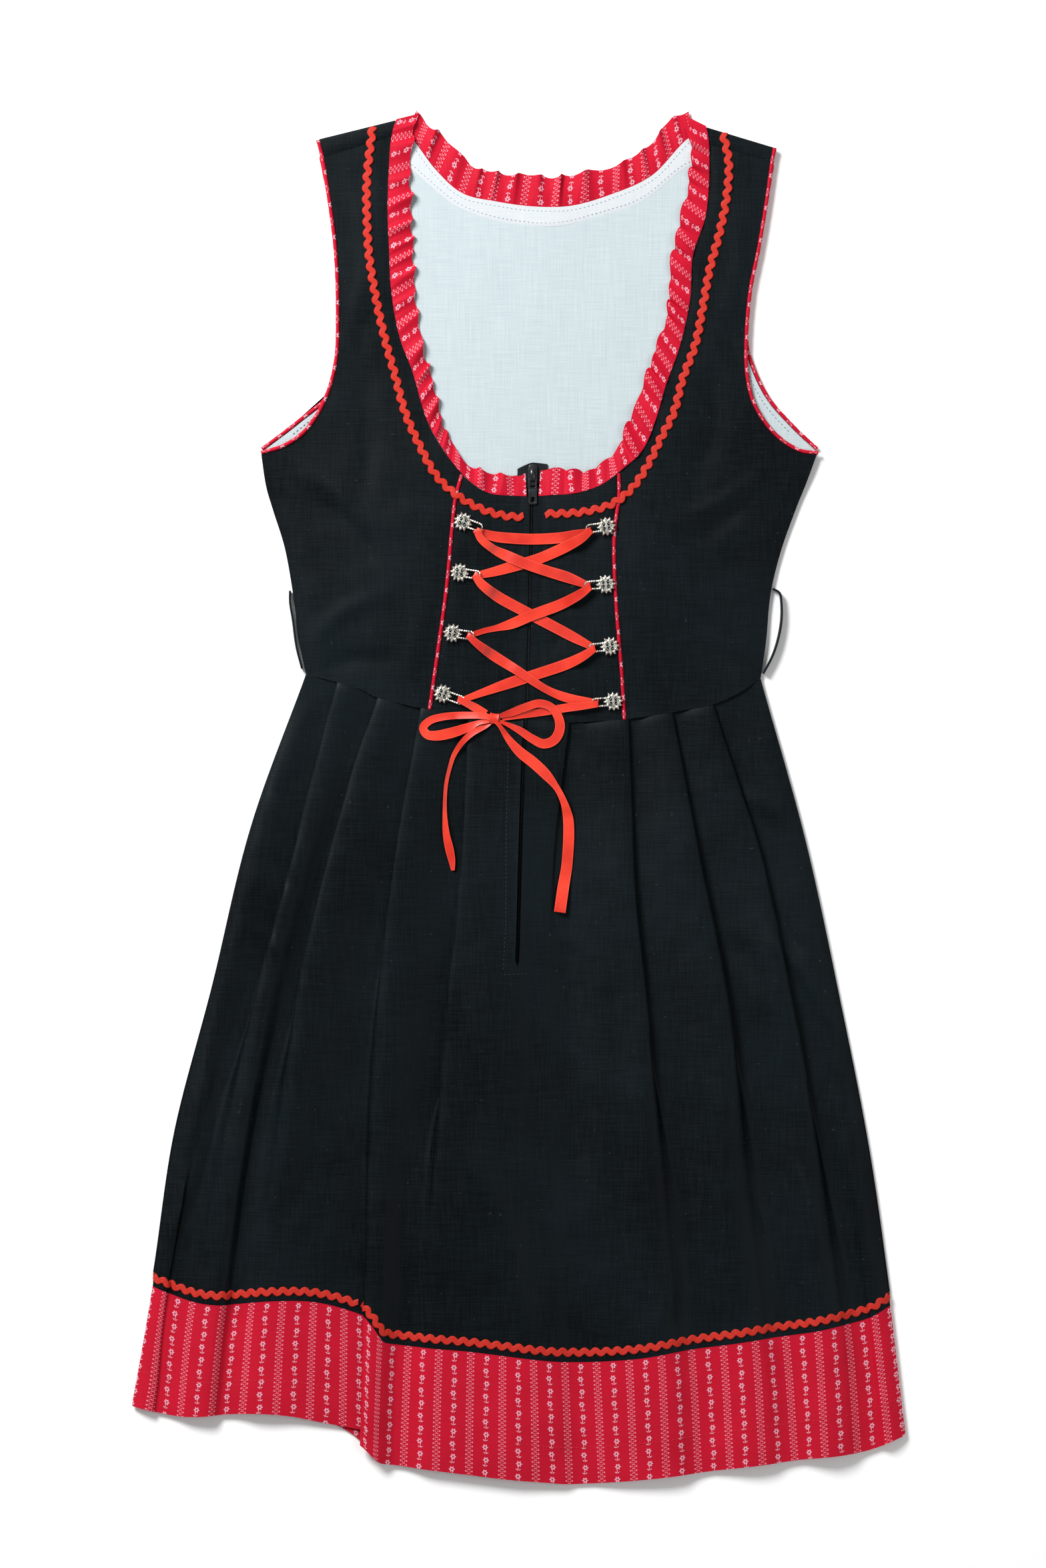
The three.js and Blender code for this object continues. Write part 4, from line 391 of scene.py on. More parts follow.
# Shader maths: a socket that takes + - * / and a few functions, in the node tree of its finish
class Value:
    def __init__(self, finish, socket):
        self.finish = finish
        self.socket = socket

    def __add__(self, other):
        return self.finish.maths("ADD", self, other)

    __radd__ = __add__

    def __sub__(self, other):
        return self.finish.maths("SUBTRACT", self, other)

    def __rsub__(self, other):
        return self.finish.maths("SUBTRACT", other, self)

    def __mul__(self, other):
        return self.finish.maths("MULTIPLY", self, other)

    __rmul__ = __mul__

    def __truediv__(self, other):
        return self.finish.maths("DIVIDE", self, other)

    def __abs__(self):
        return self.finish.maths("ABSOLUTE", self)

    def fract(self):
        return self.finish.maths("FRACT", self)

    def floor(self):
        return self.finish.maths("FLOOR", self)

    def root(self):
        return self.finish.maths("SQRT", self)

    def cosine(self):
        return self.finish.maths("COSINE", self)

    def sine(self):
        return self.finish.maths("SINE", self)

    def most(self, other):
        return self.finish.maths("MAXIMUM", self, other)


# One finish: its material, a slot name that it keeps, and short names for the nodes it uses
class Finish:
    def __init__(self, name, slot):
        self.slot = slot
        self.material = bpy.data.materials.new(name)
        self.material.use_nodes = True
        self.tree = self.material.node_tree
        self.tree.nodes.clear()
        output = self.tree.nodes.new("ShaderNodeOutputMaterial")
        self.shader = self.tree.nodes.new("ShaderNodeBsdfPrincipled")
        self.tree.links.new(self.shader.outputs[0], output.inputs[0])

    def node(self, kind, settings=None, inputs=None, output=0):
        made = self.tree.nodes.new(kind)
        for key, value in (settings or {}).items():
            setattr(made, key, value)
        for key, value in (inputs or {}).items():
            self.feed(made.inputs[key], value)
        return Value(self, made.outputs[output])

    def feed(self, socket, value):
        if isinstance(value, Value):
            self.tree.links.new(value.socket, socket)
        elif hasattr(value, "__len__") and len(value) == 3 and socket.type == "RGBA":
            socket.default_value = (*value, 1)
        else:
            socket.default_value = value

    def maths(self, operation, *values):
        return self.node("ShaderNodeMath", {"operation": operation}, dict(enumerate(values)))

    def split(self, vector):
        return [self.node("ShaderNodeSeparateXYZ", None, {0: vector}, k) for k in range(3)]

    # Object coordinates, in metres
    def place(self):
        return self.node("ShaderNodeTexCoord", None, None, 3)

    # Millimetres along and across the cloth
    def along_cloth(self):
        u, v, _ = self.split(self.node("ShaderNodeUVMap", {"uv_map": "UVMap"}))
        return u * MM_PER_UV, v * MM_PER_UV

    def stretched(self, scale, turn=0.0):
        return self.node("ShaderNodeMapping", None,
                         {0: self.place(), "Rotation": (0, 0, turn), "Scale": scale})

    def noise(self, vector, scale, detail=2.0, rough=0.5):
        return self.node("ShaderNodeTexNoise", None,
                         {"Vector": vector, "Scale": scale, "Detail": detail, "Roughness": rough})

    # 1 below the limit and 0 above it
    def step(self, value, limit, soft=0.12):
        return self.node("ShaderNodeMapRange", {"clamp": True},
                         {"Value": value, "From Min": limit + soft, "From Max": limit - soft, "To Min": 0.0,
                          "To Max": 1.0})

    def range(self, value, low, high, to_low=0.0, to_high=1.0):
        return self.node("ShaderNodeMapRange", {"clamp": True},
                         {"Value": value, "From Min": low, "From Max": high, "To Min": to_low,
                          "To Max": to_high})

    def mix(self, factor, one, other):
        return self.node("ShaderNodeMix", {"data_type": "RGBA"}, {0: factor, 6: one, 7: other}, 2)

    def bump(self, height, distance, strength=1.0):
        return self.node("ShaderNodeBump", None,
                         {"Strength": strength, "Distance": distance, "Height": height})

    def set(self, **values):
        for key, value in values.items():
            self.feed(self.shader.inputs[key.replace("_", " ")], value)
        return self


# A colour in 0 to 255 as the shader takes it
def srgb(r, g, b):
    return tuple(((c / 255 + 0.055) / 1.055) ** 2.4 if c > 10 else c / 255 / 12.92 for c in (r, g, b))


# Black cotton: slubs along both threads, broad patches of painted sheen and shade, and a little lint
def black_cloth():
    f = Finish("black_cotton_cloth", "black_cloth")
    place = f.place()
    painted_sheen_and_shade = f.noise(place, 6.5, 3, 0.6)
    slub_across = f.noise(f.stretched((60, 1500, 60)), 1, 1)
    slub_along = f.noise(f.stretched((1500, 60, 60)), 1, 1)
    threads = slub_across + slub_along
    # Painted sheen and shade: the base colour goes darker and lighter in broad random patches
    colour = f.mix(f.range(painted_sheen_and_shade, 0.36, 0.64), srgb(1, 4, 6), srgb(8, 16, 20))
    colour = f.mix(f.range(threads, 0.8, 1.3, 0, 0.25), colour, srgb(22, 34, 40))
    lint = f.step(f.noise(place, 420, 0), 0.15, 0.01)
    colour = f.mix(lint * 0.25, colour, srgb(60, 68, 72))
    weave = f.bump(threads, 0.00025, 0.35)
    return f.set(Base_Color=colour, Roughness=f.range(threads, 0.7, 1.3, 0.46, 0.6), Normal=weave,
                 Specular_IOR_Level=0.09)


PRINT_REPEAT = 23.5
FLOWER_PITCH = 9.1


# Dotted stripes and columns of small flowers on red, in one repeat
def red_print(name, shift=0.0):
    f = Finish(name, "red_print")
    u, v = f.along_cloth()
    u = u + shift
    across = ((u / PRINT_REPEAT).fract() - 0.5) * PRINT_REPEAT

    def dots(off, pitch, radius, start):
        down = ((v / pitch + start).fract() - 0.5) * pitch
        return f.step((off * off + down * down).root(), radius, 0.16)

    mirrored = abs(across)
    stripe = dots(mirrored - 2.15, 3.0, 0.55, 0.0).most(dots(mirrored - 0.85, 1.5, 0.3, 0.25))
    stripe = stripe.most(dots(across, 3.0, 0.4, 0.5))

    number = (v / FLOWER_PITCH).floor()
    lean = 1 - 2 * ((number * 0.5).fract() * 2)
    off = ((u / PRINT_REPEAT + 0.5).fract() - 0.5) * PRINT_REPEAT
    up = -1 * ((v / FLOWER_PITCH).fract() - 0.5) * FLOWER_PITCH

    def flower(dx, dy):
        x = off - dx
        y = up - dy
        head_x = x - lean * 0.35
        head_y = y - 1.35
        far = (head_x * head_x + head_y * head_y).root()
        turn = f.maths("ARCTAN2", head_y, head_x)
        petals = f.step(far - (turn * 6).cosine() * 0.4, 1.75, 0.16)
        stem = f.step(abs(x - lean * (y * 0.16)), 0.22, 0.1) * f.step(abs(y + 1.9), 1.5, 0.1)
        side = abs(x + lean * 0.25)
        leaf_x = (side - 1.0) / 0.72
        leaf_y = (y + 2.75 - (side - 1.0) * 0.55) / 0.36
        leaves = f.step((leaf_x * leaf_x + leaf_y * leaf_y).root(), 1.0, 0.2)
        eye = f.step(far, 0.72, 0.14)
        return petals.most(stem).most(leaves), eye

    motif, eye = flower(0, 0)
    shade, _ = flower(0.42, -0.3)
    wear = f.noise(f.place(), 26, 3, 0.6)
    ground = f.mix(wear, srgb(168, 6, 34), srgb(190, 10, 42))
    colour = f.mix(shade * 0.6, ground, srgb(104, 6, 28))
    colour = f.mix(motif.most(stripe * 0.78) * 0.94, colour, srgb(226, 154, 170))
    colour = f.mix(eye * 0.9, colour, srgb(128, 10, 36))
    threads = f.noise(f.stretched((1400, 90, 90)), 1, 1) + f.noise(f.stretched((90, 1400, 90)), 1, 1)
    return f.set(Base_Color=colour, Roughness=f.range(threads, 0.7, 1.3, 0.6, 0.78),
                 Normal=f.bump(threads, 0.0002, 0.3), Specular_IOR_Level=0.15)


# White cotton with visible threads, between two tints
def white_cloth(name, slot, low, high, depth):
    f = Finish(name, slot)
    across = f.noise(f.stretched((45, 2300, 45)), 1, 2)
    along = f.noise(f.stretched((2300, 30, 30), 0.02), 1, 2)
    threads = across + along
    broad = f.noise(f.place(), 7, 3, 0.6)
    colour = f.mix(f.range(threads, 0.78, 1.22), low, high)
    colour = f.mix(broad * 0.3, colour, tuple(0.9 * c for c in low))
    return f.set(Base_Color=colour, Roughness=f.range(threads, 0.7, 1.3, 0.75, 0.9),
                 Normal=f.bump(threads, depth, 0.4), Specular_IOR_Level=0.2)


# Plaited braid, with its cords along u, and painted shade between the cords
def braid():
    f = Finish("ricrac_braid", "ricrac_braid")
    u, v = f.along_cloth()
    plait = (v * 2.9).cosine()
    grain = f.noise(f.place(), 900, 2)
    # Painted shade: darker in the valleys between the cords, lighter on their tops
    colour = f.mix(f.range(abs(plait), 0.1, 0.75), srgb(150, 20, 14), srgb(204, 46, 28))
    colour = f.mix(grain * 0.35, colour, srgb(150, 18, 16))
    return f.set(Base_Color=colour, Roughness=f.range(grain, 0.3, 0.7, 0.5, 0.68),
                 Normal=f.bump(abs(plait) * 0.6 + grain, 0.0003, 0.5), Specular_IOR_Level=0.25)


# Satin ribbon with fine ribs, woven edges and patches of painted sheen and shade
def satin():
    f = Finish("satin_ribbon", "satin_ribbon")
    u, v = f.along_cloth()
    fine = f.noise(f.stretched((900, 900, 900)), 1, 1)
    ribs = (u * 12.0).sine()
    edge = f.step(abs(abs(v) - 3.2), 0.2, 0.12)
    # Painted sheen and shade: lighter and darker patches about 25 mm across
    colour = f.mix(f.range(f.noise(f.place(), 40, 2), 0.3, 0.7), srgb(186, 28, 15), srgb(226, 58, 36))
    colour = f.mix(edge * 0.4, colour, srgb(240, 92, 66))
    return f.set(Base_Color=colour, Roughness=f.range(fine, 0.3, 0.7, 0.34, 0.44),
                 Normal=f.bump(ribs * 0.4 + fine, 0.00008, 0.4), Specular_IOR_Level=0.4)


# Cast metal with a dark patina in its pits
def antique_silver():
    f = Finish("antique_silver", "antique_silver")
    patina = f.noise(f.place(), 620, 3, 0.6)
    dark = f.range(patina, 0.36, 0.52)
    colour = f.mix(dark, srgb(120, 116, 106), srgb(240, 238, 228))
    return f.set(Base_Color=colour, Metallic=1.0, Roughness=f.range(patina, 0.35, 0.65, 0.45, 0.3),
                 Normal=f.bump(patina, 0.00025, 0.5))


# Black lacquered metal with a fine grain
def zip_metal():
    f = Finish("black_lacquered_metal", "zip_metal")
    grain = f.noise(f.place(), 700, 3)
    colour = f.mix(grain, srgb(14, 15, 17), srgb(40, 42, 46))
    return f.set(Base_Color=colour, Metallic=0.4, Roughness=f.range(grain, 0.3, 0.7, 0.25, 0.42),
                 Normal=f.bump(grain, 0.0001, 0.3), Coat_Weight=0.5)


# Ribbed black tape
def zip_cloth():
    f = Finish("zip_tape_cloth", "zip_cloth")
    ribs = f.noise(f.stretched((1600, 60, 60)), 1, 1) + f.noise(f.stretched((60, 1100, 60)), 1, 1)
    colour = f.mix(f.range(ribs, 0.8, 1.2), srgb(8, 10, 12), srgb(26, 31, 34))
    return f.set(Base_Color=colour, Roughness=f.range(ribs, 0.7, 1.3, 0.6, 0.8),
                 Normal=f.bump(ribs, 0.0003, 0.5), Specular_IOR_Level=0.15)


# Sewing thread with a fine twist, between two tints
def thread(name, slot, low, high):
    f = Finish(name, slot)
    twist = f.noise(f.place(), 1300, 2)
    return f.set(Base_Color=f.mix(twist, low, high), Roughness=f.range(twist, 0.3, 0.7, 0.5, 0.7),
                 Normal=f.bump(twist, 0.0001, 0.5))


BLACK = black_cloth()
PRINT = red_print("red_flower_print")
PIPING = red_print("red_print_on_the_bias", 8.0)
LINING = white_cloth("white_lining_cloth", "white_lining", srgb(170, 182, 186), srgb(185, 196, 199),
                     0.0003)
FACING = white_cloth("white_facing_cloth", "white_facing", srgb(188, 193, 197), srgb(198, 203, 206),
                     0.0002)
BRAID = braid()
SATIN = satin()
SILVER = antique_silver()
ZIP_METAL = zip_metal()
ZIP_CLOTH = zip_cloth()
RED_THREAD = thread("red_sewing_thread", "ricrac_braid", srgb(196, 18, 40), srgb(214, 40, 54))
WHITE_THREAD = thread("white_sewing_thread", "white_facing", srgb(132, 142, 154), srgb(160, 168, 178))
BLACK_THREAD = thread("black_sewing_thread", "black_cloth", srgb(20, 26, 30), srgb(48, 56, 62))


# The camera looks straight down, from as far as leaves no visible perspective
CAMERA_UP = 4.2
CAMERA_X = 3.12
CAMERA_Y = 9.12
FRAME_HEIGHT = 1128
camera_data = bpy.data.cameras.new("camera")
camera_data.sensor_width = 36
camera_data.lens = 36 * CAMERA_UP / (FRAME_HEIGHT * MM)
camera_data.clip_end = 20
camera = bpy.data.objects.new("camera", camera_data)
camera.location = (CAMERA_X * MM, CAMERA_Y * MM, CAMERA_UP)
bpy.context.scene.collection.objects.link(camera)
bpy.context.scene.camera = camera


def link(name, mesh):
    obj = bpy.data.objects.new(name, mesh)
    bpy.context.scene.collection.objects.link(obj)
    return obj


def select_only(obj):
    for other in list(bpy.context.selected_objects):
        other.select_set(False)
    obj.select_set(True)
    bpy.context.view_layer.objects.active = obj


def smooth(obj, angle=50):
    obj.data.polygons.foreach_set("use_smooth", [True] * len(obj.data.polygons))
    obj.data.set_sharp_from_angle(angle=math.radians(angle))


# Gives each point its place on the flat cloth, in millimetres
def set_uv(mesh, uv):
    corner = np.zeros(len(mesh.loops), np.int32)
    mesh.loops.foreach_get("vertex_index", corner)
    mesh.uv_layers[0].data.foreach_set("uv", (np.asarray(uv)[corner] / MM_PER_UV).ravel())


# A mesh from points in millimetres, faces and one u, v pair a point. A piece that stands for one CAD node
# takes the node's name with "sewn" after it.
def make_mesh(name, points, faces, uv=None):
    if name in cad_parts:
        name = f"{name}_sewn"
    mesh = bpy.data.meshes.new(name)
    mesh.from_pydata((np.asarray(points) * MM).tolist(), [], [list(map(int, face)) for face in faces])
    if uv is not None:
        mesh.uv_layers.new(name="UVMap")
        set_uv(mesh, uv)
    mesh.update()
    return link(name, mesh)


# Gives a piece its finish and its body, and hides the CAD nodes that it stands for
def finish_piece(obj, finish, nodes=(), body="dress"):
    obj.data.materials.clear()
    obj.data.materials.append(finish.material)
    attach(obj, body)
    if nodes:
        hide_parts(*nodes)
    return obj


# The least side of a sheet's cut, in metres
LEAST_SIDE = 0.0102


# Cloth from one or more grids of points on its middle surface. Grids that share points are joined there.
def cloth(name, grids, thickness, finish, nodes=(), declared=True):
    points = []
    uvs = []
    faces = []
    count = 0
    for grid, uv in grids:
        rows, columns = grid.shape[:2]
        points.append(grid.reshape(-1, 3))
        uvs.append(uv.reshape(-1, 2))
        number = np.arange(rows * columns).reshape(rows, columns) + count
        quads = np.stack([number[:-1, :-1], number[:-1, 1:], number[1:, 1:], number[1:, :-1]], axis=-1)
        quads = quads.reshape(-1, 4)
        a = grid[:-1, 1:] - grid[:-1, :-1]
        b = grid[1:, :-1] - grid[:-1, :-1]
        if (a[..., 0] * b[..., 1] - a[..., 1] * b[..., 0]).sum() < 0:
            quads = quads[:, ::-1]
        faces.append(quads)
        count += rows * columns
    points = np.vstack(points)
    uvs = np.vstack(uvs)
    faces = np.vstack(faces)
    if len(grids) > 1:
        _, first, back = np.unique(np.round(points / JOIN_GRID).astype(np.int64), axis=0, return_index=True,
                                   return_inverse=True)
        faces = back.reshape(-1)[faces]
        points = points[first]
        uvs = uvs[first]
    obj = make_mesh(name, points, faces, uvs)
    select_only(obj)
    wall = obj.modifiers.new("thickness", "SOLIDIFY")
    wall.thickness = thickness * MM
    wall.offset = 0
    bpy.ops.object.modifier_apply(modifier=wall.name)
    smooth(obj)
    if declared:
        declare_sheet([grid * MM for grid, _ in grids])
    return finish_piece(obj, finish, nodes)


# Works out the cut of a sheet: its size when spread flat, measured along the made cloth. The sizes are not
# stored or returned.
def declare_sheet(grids):
    area = 0.0
    wide = 0.0
    high = 0.0
    for g in grids:
        across = np.cross(g[:-1, 1:] - g[:-1, :-1], g[1:, :-1] - g[:-1, :-1])
        area += float(np.linalg.norm(across, axis=2).sum())
        wide += float(np.linalg.norm(np.diff(g, axis=1), axis=2).sum(axis=1).max())
        high = max(high, float(np.linalg.norm(np.diff(g, axis=0), axis=2).sum(axis=0).max()))
    wide = max(wide, LEAST_SIDE, 1.01 * area / high)
    high = max(high, LEAST_SIDE)


# The distance along the cloth from its first column and its first row
def cloth_uv(grid):
    u = np.concatenate([np.zeros((len(grid), 1)),
                        np.cumsum(np.linalg.norm(np.diff(grid, axis=1), axis=2), axis=1)], axis=1)
    v = np.concatenate([np.zeros((1, grid.shape[1])),
                        np.cumsum(np.linalg.norm(np.diff(grid, axis=0), axis=2), axis=0)], axis=0)
    return np.stack([u, v], axis=-1)


# A flat grid between two lines that have the same number of points
def panel(line_a, line_b, columns):
    t = np.linspace(0, 1, columns + 1)[None, :, None]
    return np.asarray(line_a)[:, None, :2] * (1 - t) + np.asarray(line_b)[:, None, :2] * t


# A flat grid with its heights
def raised(flat, height):
    return np.concatenate([flat, np.broadcast_to(height, flat.shape[:2])[..., None]], axis=-1)


# A closed tube from rings of points, with a cap at each end
def tube(name, rings, path, finish, nodes=()):
    count = rings.shape[1]
    number = np.arange(len(rings) * count).reshape(len(rings), count)
    around = np.roll(number, -1, axis=1)
    faces = np.stack([number[:-1], number[1:], around[1:], around[:-1]], axis=-1).reshape(-1, 4).tolist()
    faces.append(number[0].tolist())
    faces.append(number[-1][::-1].tolist())
    length = along_line(path)
    middle = rings[len(rings) // 2]
    turn = along_line(np.vstack([middle, middle[:1]]))[:-1]
    uv = np.stack([np.repeat(length, count), np.tile(turn, len(rings))], axis=-1)
    obj = make_mesh(name, rings.reshape(-1, 3), faces, uv)
    set_outwards(obj)
    smooth(obj)
    return finish_piece(obj, finish, nodes)


# Turns all faces round if the closed mesh is inside out
def set_outwards(obj):
    mesh = obj.data
    mesh.calc_loop_triangles()
    co = np.zeros(len(mesh.vertices) * 3)
    mesh.vertices.foreach_get("co", co)
    co = co.reshape(-1, 3)
    tri = np.array([t.vertices[:] for t in mesh.loop_triangles])
    a, b, c = co[tri[:, 0]], co[tri[:, 1]], co[tri[:, 2]]
    if np.einsum("ij,ij->i", a, np.cross(b, c)).sum() < 0:
        mesh.flip_normals()


# Heights above the surface, read from the top of what has been laid
class Ground:
    def __init__(self):
        self.trees = []

    def add(self, obj):
        mesh = obj.data
        co = np.zeros(len(mesh.vertices) * 3)
        mesh.vertices.foreach_get("co", co)
        faces = [p.vertices[:] for p in mesh.polygons]
        self.trees.append(BVHTree.FromPolygons((co.reshape(-1, 3) / MM).tolist(), faces))

    def height(self, x, y):
        top = 0.0
        for tree in self.trees:
            hit = tree.ray_cast(Vector((float(x), float(y), 60)), Vector((0, 0, -1)))[0]
            if hit is not None:
                top = max(top, hit.z)
        return top

    # The highest of seven places in a circle
    def highest(self, x, y, radius):
        top = self.height(x, y)
        for k in range(6):
            angle = k * math.pi / 3
            top = max(top, self.height(x + radius * math.cos(angle), y + radius * math.sin(angle)))
        return top


# The top of one CAD solid
def cad_ground(node):
    ground = Ground()
    ground.add(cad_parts[node])
    return ground


# Ribbon: cloth along a line of points with widths, and the direction across it at each point
def ribbon(name, places, across, cup=0.12, thickness=0.35):
    points = places[:, :3]
    way = np.gradient(points, axis=0)
    way /= np.maximum(1e-9, np.linalg.norm(way, axis=1))[:, None]
    across = across - way * np.einsum("ij,ij->i", across, way)[:, None]
    across /= np.linalg.norm(across, axis=1)[:, None]
    normal = np.cross(across, way)
    share = np.linspace(-0.5, 0.5, 9)
    rows = []
    for layer, order in ((0.5, share), (-0.5, share[::-1])):
        for s in order:
            bow = cup * (1 - (2 * s) ** 2) * np.minimum(1, 5 / np.maximum(places[:, 3], 1))
            lift = bow + thickness * layer
            rows.append(points + across * (places[:, 3] * s)[:, None] + normal * lift[:, None])
    obj = tube(name, np.stack(rows, axis=1), points, SATIN)
    u = np.repeat(along_line(points), len(rows))
    v = np.tile(np.concatenate([share, share[::-1]]) * RIBBON_WIDTH, len(points))
    set_uv(obj.data, np.stack([u, v], axis=1))
    return obj


# The direction across a route, flat on the surface
def flat_across(points):
    side = sideways(points)
    return np.stack([side[:, 0], side[:, 1], np.zeros(len(side))], axis=1)


# Values with their small bumps taken off, the ends kept
def smoothed(values, passes):
    values = values.copy()
    for _ in range(passes):
        values[1:-1] = (values[:-2] + 2 * values[1:-1] + values[2:]) / 4
    return values


# The route of one ribbon node, with heights from its CAD solid
def laid_route(node, route, step=1.6, shave=0.45):
    count = max(6, round(along_line(np.asarray(route)[:, :2])[-1] / step))
    line = spaced(route, count)
    tree = cad_ground(node).trees[0]
    heights = []
    for x, y, _ in line:
        hit = tree.ray_cast(Vector((x, y, 60)), Vector((0, 0, -1)))[0]
        if hit is None:
            hit = tree.find_nearest(Vector((x, y, 12)))[0]
        heights.append(hit.z - shave)
    z = smoothed(np.array(heights), 3)
    return np.stack([line[:, 0], line[:, 1], z, line[:, 2]], axis=1)


# Length of a route in metres
def cord_length(points):
    return float(along_line(np.asarray(points)[:, :3])[-1]) * MM


TURN_STEPS = 10


# The way round the wire of a hook, from the end of one stretch to the start of the next
def turn_at_hook(before, after):
    hook = HOOKS[min(HOOKS, key=lambda place: math.dist(HOOKS[place]["tip"], before[:2]))]
    out = np.array(hook["star"], float) - hook["tip"]
    out /= np.linalg.norm(out)
    turn = []
    for angle in np.linspace(0, math.pi, TURN_STEPS + 1)[1:-1]:
        at = (before + after) / 2 + (before - after) / 2 * math.cos(angle)
        at[:2] += out * 1.5 * math.sin(angle)
        turn.append(at)
    return np.array(turn)


# The lace is one ribbon from the knot round all eight hooks and back
lace_parts = []
across_parts = []
for node, direction, route in LACE:
    part = laid_route(node, route)[::direction]
    part[:, 3] *= 1.1
    side = flat_across(part)
    if lace_parts:
        last_side = across_parts[-1][-1]
        if np.dot(last_side, side[0]) < 0:
            side = -side
        mix = np.linspace(0, 1, TURN_STEPS + 1)[1:-1, None]
        lace_parts.append(turn_at_hook(lace_parts[-1][-1], part[0]))
        across_parts.append(last_side * (1 - mix) + side[0] * mix)
    lace_parts.append(part)
    across_parts.append(side)
lace_line = np.vstack(lace_parts)
lace_across = np.vstack(across_parts)
lace = ribbon("bodice_lace", lace_line, lace_across)
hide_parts(*[node for node, _, _ in LACE])

knot_low, knot_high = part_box("lace_knot")
knot_top = knot_high.z / MM
knot_bottom = knot_low.z / MM


# A short band of ribbon over the knot
def knot_band(name, middle, turn, length, width, lift):
    steps = np.linspace(-1.25, 1.25, 25)
    x = middle[0] + np.cos(turn) * np.sin(steps) * length
    y = middle[1] + np.sin(turn) * np.sin(steps) * length
    z = knot_bottom + 0.5 + (knot_top + lift - knot_bottom - 0.5) * np.cos(steps) ** 0.8
    places = np.stack([x, y, z, np.full_like(x, width)], axis=1)
    across = np.tile([-math.sin(turn), math.cos(turn), 0.0], (len(x), 1))
    return ribbon(name, places, across, 0.5)


knot_front = knot_band("bow_knot_front", KNOT, math.radians(82), 4.1, 6.4, -0.2)
knot_back = knot_band("bow_knot_back", (KNOT[0] + 0.3, KNOT[1] - 0.4), math.radians(8), 4.6, 4.6, -1.1)
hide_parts("lace_knot")
cord_length(lace_line)
in_knot = [(KNOT[0], KNOT[1] - 0.6, 2.6)]
for node, route in LOOSE_ENDS.items():
    is_loop = "loop" in node
    route = in_knot + route + (in_knot if is_loop else [])
    places = laid_route(node, route, 1.3)
    places[:, 3] *= 1.25 if is_loop else 1.12
    if not is_loop:
        s = along_line(places[:, :2])
        places[:, 2] += 0.5 * np.sin(s / 11) * np.clip(s / 20, 0, 1)
    side = flat_across(places)
    twist = 0.55 * np.sin(np.arange(len(places)) * 1.3 / 19 + len(node))
    side[:, 2] += np.clip(twist, -0.35, 0.35) * np.clip((7 - places[:, 3]) / 4, 0, 1)
    piece = ribbon(node.replace("lace_tail", "lace_end"), places, side)
    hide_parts(node)
    (places[0, :3] * MM).tolist()
    cord_length(places)
    (places[:, :3] * MM).tolist()


# The middle of the front's cloth, on the bodice's shape with creases
def front_height(x, y):
    edge = np.minimum(x - x_at(SIDE_SEAM_LEFT, y), x_at(SIDE_SEAM_RIGHT, y) - x)
    quiet = ease(edge / 10)
    soft = 0.5 * ripple(x, y, 62, 1) + 0.22 * ripple(x, y, 23, 2)
    return front_level(x, y) + CLOTH * 0.6 + quiet * (1.7 * creases(x, y, BODICE_CREASES) + soft)


